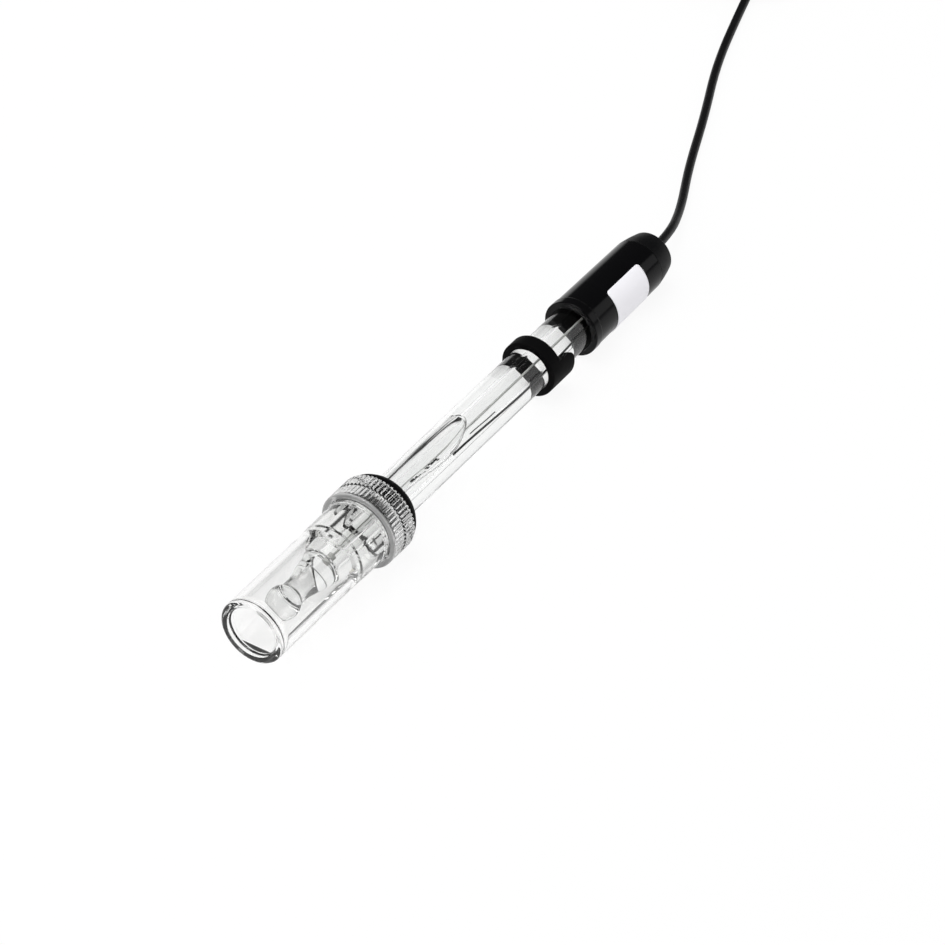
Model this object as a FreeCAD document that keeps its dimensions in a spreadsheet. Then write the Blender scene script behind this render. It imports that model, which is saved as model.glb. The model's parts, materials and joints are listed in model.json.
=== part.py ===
# Glass combination electrode in its soaker bottle, lying on a bench, with its cable and plug.
# The electrode is a body of revolution: stations run along its axis from the foot of the
# bottle to the cable end, radii are taken from that axis, and one placement lays it down.
import FreeCAD, Part
import math
import os
import Sketcher
from FreeCAD import Placement, Rotation, Vector

doc = FreeCAD.newDocument("electrode")

# Driving sizes, in millimetres and degrees
SIZES = {
    "tube_od": 12.0, "tube_wall": 1.0, "bulb_od": 8.7, "bulb_wall": 0.4,
    "neck_od": 6.4, "neck_wall": 0.7, "neck_end": 10.05, "cone_len": 12.0,
    "cone_round": 14.0, "glass_len": 131.3, "tip_depth": 35.75, "tube_insert": 9.8,
    "cap_play": 0.4, "nose_neck_wall": 0.75, "nose_step": 0.75, "nose_neck_len": 1.9,
    "nose_room": 1.1, "thread_play": 0.35, "thread_depth": 12.4, "bore_step": 0.95,
    "bottle_wall": 1.6, "bottle_len": 45.2, "bottle_floor": 1.3, "foot_width": 1.3,
    "foot_recess": 0.9, "base_edge": 0.8, "collar_step": 0.2, "mouth_bevel": 0.55,
    "skirt_wall": 1.4, "skirt_depth": 1.5, "cap_len": 8.8, "cap_overlap": 0.5,
    "cap_edge": 0.6, "rear_edge": 0.2, "rib_count": 56, "rib_depth": 0.42,
    "rib_gap": 0.62, "split_width": 0.3, "split_depth": 0.5, "split_front": 4.6,
    "gasket_inset": 0.3, "gasket_len": 1.95, "gasket_edge": 0.25, "ring_section": 1.0,
    "stem_od": 4.8, "stem_wall": 0.7, "stem_over": 5.0, "seal_back": 2.6,
    "flare_len": 3.4, "junction_od": 1.1, "junction_after": 1.0,
    "junction_angle": 196.0, "wire_od": 0.4, "wire_over": 3.0, "halide_od": 1.4,
    "halide_len": 3.0, "halide_above": 1.0, "reference_from_tip": 71.0,
    "reference_angle": 157.0, "bung_len": 3.4, "stopper_len": 3.4,
    "hole_od": 3.0, "sleeve_wall": 1.8, "sleeve_width": 4.15, "sleeve_gap": 15.9,
    "sleeve_edge": 0.35, "tongue_len": 7.5, "tongue_angle": 202.0, "tongue_span": 96.0,
    "tongue_corner": 2.0,
    "head_play": 0.25, "head_wall": 1.47, "head_taper": 0.27, "head_len": 31.85,
    "head_edge": 0.3, "flange_step": 0.18, "flange_len": 2.7, "stop_lip": 0.75,
    "stop_len": 1.2, "collar_len": 7.2, "shoulder_len": 3.8, "shoulder_step": 0.6,
    "shoulder_round": 6.0, "collar_step_in": 0.7, "collar_edge": 0.6,
    "spigot_len": 4.6, "cable_flare": 1.1, "label_from": 10.4, "label_len": 16.6,
    "label_angle": 177.0, "label_span": 116.0, "label_thick": 0.1, "label_corner": 1.0,
    "cable_od": 2.4, "cable_inset": 9.3, "lead_od": 0.7, "lead_apart": 0.1, "coil_mean": 28.4,
    "coil_columns": 3, "coil_layers": 3, "coil_x": 216.8, "coil_y": 61.6,
    "plug_x": 226.5, "plug_y": 31.5, "ferrule_wall": 1.85, "ferrule_len": 8.5,
    "ferrule_lip": 0.5, "plug_body_od": 9.6, "plug_back_len": 2.5, "waist_depth": 0.7,
    "waist_len": 2.0, "keeper_len": 1.5, "barrel_od": 8.1, "barrel_wall": 0.6,
    "barrel_len": 13.0, "nut_play": 0.35, "nut_wall": 2.1, "nut_len": 14.0,
    "nut_hole": 2.3, "nut_hole_back": 6.4, "track_width": 2.1, "track_depth": 1.0,
    "track_len": 6.0, "track_turn": 55.0, "flute_count": 24, "flute_depth": 0.45,
    "flute_width": 0.9, "flute_len": 4.2, "insulator_len": 8.0,
    "insulator_nose_od": 4.6, "insulator_nose_len": 2.0, "pin_od": 1.35,
    "pin_len": 15.0, "pin_back": 4.0, "plug_edge": 0.35,
    "free_gap": 0.3, "slip_gap": 0.05, "seat_gap": 0.05,
}

# Stations along the axis and other values that follow from the driving sizes
PLACES = {
    "tube_bore": "sizes.tube_od - 2 * sizes.tube_wall",
    "neck_bore": "sizes.neck_od - 2 * sizes.neck_wall",
    "slip_bore": "sizes.tube_od + 2 * sizes.slip_gap",
    "cap_bore": "sizes.tube_od + 2 * sizes.cap_play",
    "nose_neck_od": "cap_bore + 2 * sizes.nose_neck_wall",
    "nose_od": "nose_neck_od + 2 * sizes.nose_step",
    "thread_bore": "nose_od + 2 * sizes.thread_play",
    "bottle_bore": "thread_bore - 2 * sizes.bore_step",
    "bottle_od": "bottle_bore + 2 * sizes.bottle_wall",
    "collar_od": "bottle_od + 2 * sizes.collar_step",
    "skirt_bore": "collar_od + 2 * sizes.free_gap",
    "cap_od": "skirt_bore + 2 * sizes.skirt_wall",
    "gasket_od": "cap_od - 2 * sizes.gasket_inset",
    "foot_od": "bottle_od - 2 * sizes.base_edge",
    "cap_front": "sizes.bottle_len - sizes.cap_overlap",
    "cap_seat": "cap_front + sizes.skirt_depth",
    "cap_rear": "cap_front + sizes.cap_len",
    "split_low": "cap_front + sizes.split_front",
    "thread_start": "sizes.bottle_len - sizes.thread_depth",
    "nose_end": "thread_start + sizes.free_gap + sizes.nose_room",
    "bottle_inside": "sizes.foot_recess + sizes.bottle_floor",
    "gasket_front": "cap_rear + sizes.seat_gap",
    "gasket_rear": "gasket_front + sizes.gasket_len",
    "tip": "cap_front - sizes.tip_depth",
    "bulb_centre": "tip + sizes.bulb_od / 2",
    "cone_low": "tip + sizes.neck_end",
    "cone_high": "cone_low + sizes.cone_len",
    "flare_low": "cone_high - sizes.seal_back",
    "flare_high": "flare_low + sizes.flare_len",
    "cone_share": "(sizes.cone_len - sizes.seal_back) / sizes.cone_len",
    "flare_radius": "(neck_bore + cone_share * (tube_bore - neck_bore)) / 2 - sizes.seat_gap",
    "stem_bore": "sizes.stem_od - 2 * sizes.stem_wall",
    "halide_low": "flare_low + sizes.halide_above",
    "junction_station": "flare_high + sizes.junction_after",
    "reference_low": "tip + sizes.reference_from_tip",
    "reference_radius": "(sizes.stem_od + tube_bore) / 4",
    "head_front": "tip + sizes.glass_len",
    "tube_top": "head_front + sizes.tube_insert",
    "stem_top": "tube_top + sizes.stem_over",
    "wire_end": "stem_top + sizes.wire_over",
    "sleeve_od": "sizes.tube_od + 2 * sizes.sleeve_wall",
    "sleeve_rear": "head_front - sizes.sleeve_gap",
    "sleeve_front": "sleeve_rear - sizes.sleeve_width",
    "tongue_end": "sleeve_rear + sizes.tongue_len",
    "fill_station": "sleeve_rear + sizes.tongue_len / 2",
    "head_bore": "sizes.tube_od + 2 * sizes.head_play",
    "head_front_od": "head_bore + 2 * sizes.head_wall",
    "head_rear_od": "head_front_od - 2 * sizes.head_taper",
    "flange_od": "head_front_od + 2 * sizes.flange_step",
    "flange_rear": "head_front + sizes.flange_len",
    "head_rear": "head_front + sizes.head_len",
    "lip_front": "tube_top + sizes.seat_gap",
    "lip_bore": "sizes.tube_od - 2 * sizes.stop_lip",
    "collar_rear": "head_rear + sizes.collar_len",
    "shoulder_od": "head_rear_od - 2 * sizes.shoulder_step",
    "collar_end_od": "shoulder_od - 2 * sizes.collar_step_in",
    "cable_bore": "sizes.cable_od + 2 * sizes.slip_gap",
    "cable_start": "collar_rear - sizes.cable_inset",
    "label_low": "head_front + sizes.label_from",
    "label_high": "label_low + sizes.label_len",
    "head_slope": "sizes.head_taper / (sizes.head_len - sizes.flange_len)",
    "label_low_radius": "head_front_od / 2 - (label_low - flange_rear) * head_slope + sizes.seat_gap / 2",
    "label_high_radius": "label_low_radius - sizes.label_len * head_slope",
    "tilt": "atan((cap_od - head_rear_od) / 2 / (head_rear - cap_rear + sizes.rear_edge))",
    "lift": "head_rear_od / 2 * cos(tilt) + head_rear * sin(tilt)",
    "rear_face_radius": "collar_end_od / 2 - sizes.collar_edge",
    "middle": "(collar_rear * cos(tilt) + (rear_face_radius - foot_od / 2) * sin(tilt)) / 2",
    "coil_high": "sizes.coil_layers * sizes.cable_od",
    "ferrule_od": "sizes.cable_od + 2 * sizes.slip_gap + 2 * sizes.ferrule_wall",
    "waist_od": "sizes.plug_body_od - 2 * sizes.waist_depth",
    "barrel_bore": "sizes.barrel_od - 2 * sizes.barrel_wall",
    "nut_bore": "sizes.plug_body_od + 2 * sizes.nut_play",
    "nut_lip_bore": "waist_od + 2 * sizes.free_gap",
    "nut_od": "nut_bore + 2 * sizes.nut_wall",
    "body_rear": "sizes.ferrule_len + sizes.seat_gap",
    "waist_rear": "body_rear + sizes.plug_back_len",
    "waist_front": "waist_rear + sizes.waist_len",
    "keeper_front": "waist_front + sizes.keeper_len",
    "barrel_front": "keeper_front + sizes.barrel_len",
    "nut_rear": "waist_rear + sizes.free_gap",
    "nut_lip_front": "waist_front - sizes.free_gap",
    "nut_front": "nut_rear + sizes.nut_len",
    "insulator_front": "keeper_front + sizes.insulator_len",
    "pin_low": "keeper_front - sizes.pin_back",
    "pin_high": "pin_low + sizes.pin_len",
}

sizes = doc.addObject("Spreadsheet::Sheet", "sizes")
for row, (name, value) in enumerate(SIZES.items(), start=1):
    sizes.set(f"A{row}", name)
    sizes.set(f"B{row}", str(value))
    sizes.setAlias(f"B{row}", name)
doc.recompute()

places = doc.addObject("Spreadsheet::Sheet", "places")
for row, (name, rule) in enumerate(PLACES.items(), start=1):
    places.set(f"A{row}", name)
    places.set(f"B{row}", "=" + rule)
    places.setAlias(f"B{row}", name)
    doc.recompute()


def value(rule):
    """A rule's value now, as a plain number."""
    found = places.evalExpression(rule)
    return float(getattr(found, "Value", found))


def plane_sketch(body, role, name, base=None, turn=None, axis=None):
    """A sketch on one of the body's own planes, moved and turned by rules."""
    sketch = body.newObject("Sketcher::SketchObject", name)
    plane = next(f for f in body.Origin.OriginFeatures if f.Role == role)
    sketch.AttachmentSupport = [(plane, "")]
    sketch.MapMode = "FlatFace"
    if turn:
        sketch.AttachmentOffset = Placement(Vector(), Rotation(axis, 1))
        sketch.setExpression("AttachmentOffset.Rotation.Angle", turn)
    for letter, rule in (base or {}).items():
        sketch.setExpression(f"AttachmentOffset.Base.{letter}", rule)
    return sketch


def arc_side(start, end, radius, left):
    """The arc from start to end; its centre lies left of the way there if left is true."""
    span = end - start
    across = Vector(-span.y, span.x, 0).normalize() * (1 if left else -1)
    reach = math.sqrt(max(0.0, radius ** 2 - (span.Length / 2) ** 2))
    centre = (start + end) * 0.5 + across * reach
    first, last = (start, end) if left else (end, start)
    low = math.atan2(first.y - centre.y, first.x - centre.x)
    high = math.atan2(last.y - centre.y, last.x - centre.x)
    return Part.ArcOfCircle(Part.Circle(centre, Vector(0, 0, 1), radius), low, high)


def outline(sketch, corners, arcs=None):
    """A closed outline through corners (station rule, radius rule), with some sides as arcs.

    arcs maps a side's number to its radius rule and whether its centre lies to the left.
    """
    arcs = arcs or {}
    spots = [Vector(value(a), value(b), 0) for a, b in corners]
    count = len(spots)
    for i in range(count):
        start, end = spots[i], spots[(i + 1) % count]
        if i in arcs:
            sketch.addGeometry(arc_side(start, end, value(arcs[i][0]), arcs[i][1]))
        else:
            sketch.addGeometry(Part.LineSegment(start, end))

    def end_of(i, first):
        swapped = i in arcs and not arcs[i][1]
        return (1 if first else 2) if not swapped else (2 if first else 1)

    for i in range(count):
        following = (i + 1) % count
        joint = Sketcher.Constraint("Coincident", i, end_of(i, False), following, end_of(following, True))
        sketch.addConstraint(joint)
    for i, (along, out) in enumerate(corners):
        for kind, rule, word in (("DistanceX", along, "along"), ("DistanceY", out, "out")):
            number = value(rule)
            if abs(number) < 1e-9:
                axis = -2 if kind == "DistanceX" else -1
                sketch.addConstraint(Sketcher.Constraint("PointOnObject", i, end_of(i, True), axis))
                continue
            dimension = Sketcher.Constraint(kind, -1, 1, i, end_of(i, True), number)
            index = sketch.addConstraint(dimension)
            sketch.renameConstraint(index, f"{word}{i}")
            sketch.setExpression(f"Constraints.{word}{i}", rule)
    for i, (rule, _) in arcs.items():
        index = sketch.addConstraint(Sketcher.Constraint("Radius", i, value(rule)))
        sketch.renameConstraint(index, f"bend{i}")
        sketch.setExpression(f"Constraints.bend{i}", rule)
    return sketch


def ring_spot(sketch, along, out, across):
    """A circle of diameter across, with its centre at (along, out)."""
    centre = Vector(value(along), value(out), 0)
    sketch.addGeometry(Part.Circle(centre, Vector(0, 0, 1), value(across) / 2))
    for kind, rule, axis in (("DistanceX", along, -2), ("DistanceY", out, -1)):
        if abs(value(rule)) < 1e-9:
            sketch.addConstraint(Sketcher.Constraint("PointOnObject", 0, 3, axis))
            continue
        index = sketch.addConstraint(Sketcher.Constraint(kind, -1, 1, 0, 3, value(rule)))
        sketch.renameConstraint(index, kind.lower())
        sketch.setExpression(f"Constraints.{kind.lower()}", rule)
    index = sketch.addConstraint(Sketcher.Constraint("Diameter", 0, value(across)))
    sketch.renameConstraint(index, "across")
    sketch.setExpression("Constraints.across", across)
    return sketch


def new_body(label):
    body = doc.addObject("PartDesign::Body", label)
    body.Label = label
    return body


def turned(body, corners, arcs=None, name="Turned", angle=None, turn=None, axis="H_Axis", plane="XY_Plane"):
    """A revolved outline: all round, or by angle about the middle plane that turn gives."""
    sketch = plane_sketch(body, plane, name + "Outline", turn=turn, axis=Vector(1, 0, 0))
    outline(sketch, corners, arcs)
    feature = body.newObject("PartDesign::Revolution", name)
    feature.Profile = sketch
    feature.ReferenceAxis = (sketch, [axis])
    feature.Angle = 360
    if angle:
        feature.Midplane = True
        feature.setExpression("Angle", angle)
    body.Tip = feature
    doc.recompute()
    return feature


def padded(body, sketch, length, name):
    feature = body.newObject("PartDesign::Pad", name)
    feature.Profile = sketch
    feature.setExpression("Length", length)
    body.Tip = feature
    doc.recompute()
    return feature


def cut(body, sketch, length, name):
    """A pocket of that length, against the sketch's normal, that has to take something away."""
    before = body.Shape.Volume
    feature = body.newObject("PartDesign::Pocket", name)
    feature.Profile = sketch
    feature.setExpression("Length", length)
    body.Tip = feature
    doc.recompute()
    assert body.Shape.Volume < before - 1e-6, name + " cuts nothing"
    return feature


def grooved(body, corners, name):
    """A turned groove that has to take something away."""
    before = body.Shape.Volume
    sketch = plane_sketch(body, "XY_Plane", name + "Outline")
    outline(sketch, corners)
    feature = body.newObject("PartDesign::Groove", name)
    feature.Profile = sketch
    feature.ReferenceAxis = (sketch, ["H_Axis"])
    feature.Angle = 360
    body.Tip = feature
    doc.recompute()
    assert body.Shape.Volume < before - 1e-6, name + " cuts nothing"
    return feature


def all_round(body, feature, count, name):
    """The feature again and again round the axis, count times in all."""
    before = body.Shape.Volume
    pattern = body.newObject("PartDesign::PolarPattern", name)
    pattern.Originals = [feature]
    pattern.Axis = (feature.Profile[0], ["N_Axis"])
    pattern.Angle = 360
    pattern.setExpression("Occurrences", count)
    body.Tip = pattern
    doc.recompute()
    assert body.Shape.Volume < before - 1e-6, name + " repeats nothing"
    return pattern


def rounded(body, rule, picked, name):
    """The picked edges of the body rounded."""
    base = body.Tip
    edges = [f"Edge{i}" for i, edge in enumerate(base.Shape.Edges, start=1) if picked(edge)]
    assert edges, name + " finds no edge"
    feature = body.newObject("PartDesign::Fillet", name)
    feature.Base = (base, edges)
    feature.setExpression("Radius", rule)
    body.Tip = feature
    doc.recompute()
    return feature


def rim(station, radius):
    """A test for the whole or part circle about the axis at that station and radius."""
    def test(edge):
        curve = edge.Curve
        if not isinstance(curve, Part.Circle):
            return False
        on_axis = abs(curve.Center.y) < 1e-3 and abs(curve.Center.z) < 1e-3
        return on_axis and abs(curve.Center.x - value(station)) < 1e-3 and abs(curve.Radius - value(radius)) < 1e-3
    return test


def lay_down(thing):
    """Puts a piece of the electrode at its place and tilt on the bench."""
    thing.Placement = Placement(Vector(), Rotation(Vector(0, 1, 0), 1))
    thing.setExpression("Placement.Rotation.Angle", "places.tilt")
    thing.setExpression("Placement.Base.x", "-places.middle")
    thing.setExpression("Placement.Base.z", "places.lift")
    return thing


def set_by(thing, x, y, z):
    """Puts a piece at the point that three rules give."""
    thing.setExpression("Placement.Base.x", x)
    thing.setExpression("Placement.Base.y", y)
    thing.setExpression("Placement.Base.z", z)
    return thing


# Soaker bottle: a clear cup with a foot ring and a wider threaded mouth
def make_bottle():
    body = new_body("soaker_bottle")
    turned(body, [
        ("sizes.foot_recess", "0"),
        ("sizes.foot_recess", "places.foot_od / 2 - sizes.foot_width"),
        ("0", "places.foot_od / 2 - sizes.foot_width + sizes.foot_recess / 3"),
        ("0", "places.foot_od / 2"),
        ("sizes.base_edge", "places.bottle_od / 2"),
        ("places.thread_start - sizes.free_gap", "places.bottle_od / 2"),
        ("places.thread_start", "places.collar_od / 2"),
        ("sizes.bottle_len", "places.collar_od / 2"),
        ("sizes.bottle_len", "places.thread_bore / 2 + sizes.mouth_bevel"),
        ("sizes.bottle_len - sizes.mouth_bevel", "places.thread_bore / 2"),
        ("places.thread_start + sizes.free_gap", "places.thread_bore / 2"),
        ("places.thread_start - sizes.free_gap", "places.bottle_bore / 2"),
        ("places.bottle_inside + sizes.base_edge", "places.bottle_bore / 2"),
        ("places.bottle_inside", "places.bottle_bore / 2 - sizes.base_edge"),
        ("places.bottle_inside", "0"),
    ], {3: ("sizes.base_edge", True)})
    return lay_down(body)


# Knurled cap: a ribbed head with a split line, and a nose that screws into the bottle
def make_cap():
    body = new_body("knurled_cap")
    turned(body, [
        ("places.cap_front", "places.skirt_bore / 2"),
        ("places.cap_front", "places.cap_od / 2 - sizes.cap_edge"),
        ("places.cap_front + sizes.cap_edge", "places.cap_od / 2"),
        ("places.cap_rear - sizes.rear_edge", "places.cap_od / 2"),
        ("places.cap_rear", "places.cap_od / 2 - sizes.rear_edge"),
        ("places.cap_rear", "places.cap_bore / 2"),
        ("places.nose_end", "places.cap_bore / 2"),
        ("places.nose_end", "places.nose_od / 2 - sizes.rear_edge"),
        ("places.nose_end + sizes.rear_edge", "places.nose_od / 2"),
        ("places.cap_seat - sizes.nose_neck_len", "places.nose_od / 2"),
        ("places.cap_seat - sizes.nose_neck_len", "places.nose_neck_od / 2"),
        ("places.cap_seat", "places.nose_neck_od / 2"),
        ("places.cap_seat", "places.skirt_bore / 2"),
    ])
    grooved(body, [
        ("places.split_low", "places.cap_od / 2 - sizes.split_depth"),
        ("places.split_low", "places.cap_od / 2 + sizes.split_depth"),
        ("places.split_low + sizes.split_width", "places.cap_od / 2 + sizes.split_depth"),
        ("places.split_low + sizes.split_width", "places.cap_od / 2 - sizes.split_depth"),
    ], "SplitLine")
    notch = plane_sketch(body, "YZ_Plane", "NotchOutline", base={"z": "places.cap_rear"})
    outline(notch, [
        ("places.cap_od / 2 - sizes.rib_depth", "-sizes.rib_gap / 4"),
        ("places.cap_od / 2 + sizes.rib_depth", "-sizes.rib_gap"),
        ("places.cap_od / 2 + sizes.rib_depth", "sizes.rib_gap"),
        ("places.cap_od / 2 - sizes.rib_depth", "sizes.rib_gap / 4"),
    ])
    first = cut(body, notch, "sizes.cap_len - sizes.cap_edge", "Notch")
    all_round(body, first, "sizes.rib_count", "Knurl")
    return lay_down(body)


# Black washer behind the cap, which grips the glass
def make_gasket():
    body = new_body("cap_gasket")
    turned(body, [
        ("places.gasket_front", "places.slip_bore / 2"),
        ("places.gasket_front", "places.gasket_od / 2"),
        ("places.gasket_rear - sizes.gasket_edge", "places.gasket_od / 2"),
        ("places.gasket_rear", "places.gasket_od / 2 - sizes.gasket_edge"),
        ("places.gasket_rear", "places.slip_bore / 2"),
    ])
    return lay_down(body)


# Rubber ring at the root of the cap's nose, above the bottle's mouth
def make_sealing_ring():
    body = new_body("sealing_ring")
    sketch = plane_sketch(body, "XY_Plane", "SectionOutline")
    ring_spot(
        sketch,
        "places.cap_seat - sizes.seat_gap - sizes.ring_section / 2",
        "places.nose_neck_od / 2 + sizes.seat_gap + sizes.ring_section / 2",
        "sizes.ring_section",
    )
    feature = body.newObject("PartDesign::Revolution", "Ring")
    feature.Profile = sketch
    feature.ReferenceAxis = (sketch, ["H_Axis"])
    feature.Angle = 360
    body.Tip = feature
    doc.recompute()
    return lay_down(body)


# Sensing bulb: a thin blown sphere on a short neck
def make_bulb():
    body = new_body("sensing_bulb")
    ball, hollow = "sizes.bulb_od / 2", "(sizes.bulb_od / 2 - sizes.bulb_wall)"
    turned(body, [
        ("places.tip", "0"),
        (f"places.bulb_centre + sqrt(({ball})^2 - (sizes.neck_od / 2)^2)", "sizes.neck_od / 2"),
        ("places.cone_low", "sizes.neck_od / 2"),
        ("places.cone_low", "places.neck_bore / 2"),
        (f"places.bulb_centre + sqrt({hollow}^2 - (places.neck_bore / 2)^2)", "places.neck_bore / 2"),
        ("places.tip + sizes.bulb_wall", "0"),
    ], {0: (ball, False), 4: (hollow, True)})
    return lay_down(body)


# Outer glass tube: drawn down to the bulb's neck, with a filling hole and a junction hole
def make_tube():
    body = new_body("outer_tube")
    turned(body, [
        ("places.cone_low + sizes.slip_gap", "sizes.neck_od / 2"),
        ("places.cone_high", "sizes.tube_od / 2"),
        ("places.tube_top", "sizes.tube_od / 2"),
        ("places.tube_top", "places.tube_bore / 2"),
        ("places.cone_high", "places.tube_bore / 2"),
        ("places.cone_low + sizes.slip_gap", "places.neck_bore / 2"),
    ])
    rounded(body, "sizes.cone_round", rim("places.cone_high", "sizes.tube_od / 2"), "OuterShoulder")
    rounded(body, "sizes.cone_round", rim("places.cone_high", "places.tube_bore / 2"), "InnerShoulder")
    radial_hole(body, "places.fill_station", "sizes.tongue_angle", "sizes.hole_od", "FillHole")
    radial_hole(
        body, "places.junction_station", "sizes.junction_angle",
        "sizes.junction_od + 2 * sizes.seat_gap", "JunctionHole",
    )
    return lay_down(body)


def radial_sketch(body, station, angle, radius, across, name):
    """A circle seen along the radius at that angle, at that distance from the axis."""
    base = {"y": f"{radius} * cos({angle})", "z": f"{radius} * sin({angle})"}
    sketch = plane_sketch(body, "XY_Plane", name, base=base, turn=f"{angle} - 90", axis=Vector(1, 0, 0))
    return ring_spot(sketch, station, "0", across)


def radial_hole(body, station, angle, across, name):
    sketch = radial_sketch(body, station, angle, "sizes.tube_od / 2", across, name + "Outline")
    return cut(body, sketch, "2 * sizes.tube_wall", name)


# Porous ceramic plug in the outer tube's wall
def make_junction():
    body = new_body("junction_plug")
    inner = "(places.tube_bore / 2)"
    sketch = radial_sketch(
        body, "places.junction_station", "sizes.junction_angle", inner, "sizes.junction_od", "RodOutline")
    padded(body, sketch, "sizes.tube_wall", "Rod")
    return lay_down(body)


# Inner glass tube, flared where it is sealed to the outer one
def make_stem():
    body = new_body("inner_stem")
    turned(body, [
        ("places.flare_low", "places.flare_radius"),
        ("places.flare_high", "sizes.stem_od / 2"),
        ("places.stem_top", "sizes.stem_od / 2"),
        ("places.stem_top", "places.stem_bore / 2"),
        ("places.flare_high", "places.stem_bore / 2"),
        ("places.flare_low", "places.flare_radius - sizes.stem_wall"),
    ], {0: ("sizes.flare_len", False), 4: ("sizes.flare_len + sizes.stem_wall", True)})
    return lay_down(body)


# Silver wire with its silver chloride tip, on the axis of the inner tube
def make_measuring_wire():
    body = new_body("measuring_wire")
    turned(body, [
        ("places.halide_low", "0"),
        ("places.halide_low", "sizes.halide_od / 2"),
        ("places.halide_low + sizes.halide_len", "sizes.halide_od / 2"),
        ("places.halide_low + sizes.halide_len", "sizes.wire_od / 2"),
        ("places.wire_end", "sizes.wire_od / 2"),
        ("places.wire_end", "0"),
    ])
    return lay_down(body)


def axial_rod(label, start, length, out, angle, across):
    """A straight rod beside the axis."""
    body = new_body(label)
    sketch = plane_sketch(
        body, "YZ_Plane", "RodOutline", base={"z": start}, turn=angle, axis=Vector(0, 0, 1))
    ring_spot(sketch, out, "0", across)
    padded(body, sketch, length, "Rod")
    return lay_down(body)


# Bung between the two tubes at the top, with a way through for the reference wire
def make_bung():
    body = new_body("tube_bung")
    turned(body, [
        ("places.tube_top - sizes.bung_len", "sizes.stem_od / 2 + sizes.seat_gap"),
        ("places.tube_top - sizes.bung_len", "places.tube_bore / 2 - sizes.seat_gap"),
        ("places.tube_top", "places.tube_bore / 2 - sizes.seat_gap"),
        ("places.tube_top", "sizes.stem_od / 2 + sizes.seat_gap"),
    ])
    sketch = plane_sketch(
        body, "YZ_Plane", "WayOutline", base={"z": "places.tube_top"},
        turn="sizes.reference_angle", axis=Vector(0, 0, 1))
    ring_spot(sketch, "places.reference_radius", "0", "sizes.wire_od + 2 * sizes.seat_gap")
    cut(body, sketch, "sizes.bung_len", "WireWay")
    return lay_down(body)


# Stopper in the inner tube's top, round the measuring wire
def make_stopper():
    body = new_body("stem_stopper")
    turned(body, [
        ("places.stem_top - sizes.stopper_len", "sizes.wire_od / 2 + sizes.seat_gap"),
        ("places.stem_top - sizes.stopper_len", "places.stem_bore / 2 - sizes.seat_gap"),
        ("places.stem_top", "places.stem_bore / 2 - sizes.seat_gap"),
        ("places.stem_top", "sizes.wire_od / 2 + sizes.seat_gap"),
    ])
    return lay_down(body)


# Rubber sleeve: a ring with a tongue that lies over the filling hole
def make_sleeve():
    body = new_body("fill_sleeve")
    bore, outside = "places.slip_bore / 2", "places.sleeve_od / 2"
    turned(body, [
        ("places.sleeve_front", bore),
        ("places.sleeve_front", outside + " - sizes.sleeve_edge"),
        ("places.sleeve_front + sizes.sleeve_edge", outside),
        ("places.sleeve_rear - sizes.sleeve_edge", outside),
        ("places.sleeve_rear", outside + " - sizes.sleeve_edge"),
        ("places.sleeve_rear", bore),
    ], name="Ring")
    turned(body, [
        ("places.sleeve_rear - sizes.sleeve_width / 2", bore),
        ("places.sleeve_rear - sizes.sleeve_width / 2", outside),
        ("places.tongue_end", outside),
        ("places.tongue_end", bore),
    ], name="Tongue", angle="sizes.tongue_span", turn="sizes.tongue_angle")

    def corner(edge):
        at_end = all(abs(v.Point.x - value("places.tongue_end")) < 1e-3 for v in edge.Vertexes)
        return at_end and isinstance(edge.Curve, Part.Line)

    rounded(body, "sizes.tongue_corner", corner, "TongueCorners")
    return lay_down(body)


# Head shell: the black moulded handle with its front flange
def make_head():
    body = new_body("head_shell")
    turned(body, [
        ("places.head_front", "places.slip_bore / 2"),
        ("places.head_front", "places.flange_od / 2 - sizes.head_edge"),
        ("places.head_front + sizes.head_edge", "places.flange_od / 2"),
        ("places.flange_rear - sizes.head_edge", "places.flange_od / 2"),
        ("places.flange_rear", "places.head_front_od / 2"),
        ("places.head_rear", "places.head_rear_od / 2"),
        ("places.head_rear", "places.head_bore / 2"),
        ("places.lip_front + sizes.stop_len", "places.head_bore / 2"),
        ("places.lip_front + sizes.stop_len", "places.lip_bore / 2"),
        ("places.lip_front", "places.lip_bore / 2"),
        ("places.lip_front", "places.slip_bore / 2"),
    ])
    return lay_down(body)


# Head collar: the rounded, tapered end that the cable leaves
def make_collar():
    body = new_body("head_collar")
    spigot = "places.head_bore / 2 - sizes.seat_gap"
    turned(body, [
        ("places.head_rear - sizes.spigot_len", "places.cable_bore / 2"),
        ("places.head_rear - sizes.spigot_len", spigot),
        ("places.head_rear + sizes.seat_gap", spigot),
        ("places.head_rear + sizes.seat_gap", "places.head_rear_od / 2"),
        ("places.head_rear + sizes.shoulder_len", "places.shoulder_od / 2"),
        ("places.collar_rear - sizes.collar_edge", "places.collar_end_od / 2"),
        ("places.collar_rear", "places.collar_end_od / 2 - sizes.collar_edge"),
        ("places.collar_rear", "places.cable_bore / 2 + sizes.cable_flare"),
        ("places.collar_rear - sizes.cable_flare", "places.cable_bore / 2"),
    ], {3: ("sizes.shoulder_round", False), 5: ("sizes.collar_edge", False)})
    return lay_down(body)


# Blank paper label wrapped part of the way round the head
def make_label():
    body = new_body("head_label")
    turned(body, [
        ("places.label_low", "places.label_low_radius"),
        ("places.label_low", "places.label_low_radius + sizes.label_thick"),
        ("places.label_high", "places.label_high_radius + sizes.label_thick"),
        ("places.label_high", "places.label_high_radius"),
    ], angle="sizes.label_span", turn="sizes.label_angle")

    def corner(edge):
        return isinstance(edge.Curve, Part.Line) and edge.Length < 2 * value("sizes.label_thick")

    rounded(body, "sizes.label_corner", corner, "LabelCorners")
    return lay_down(body)


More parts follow.
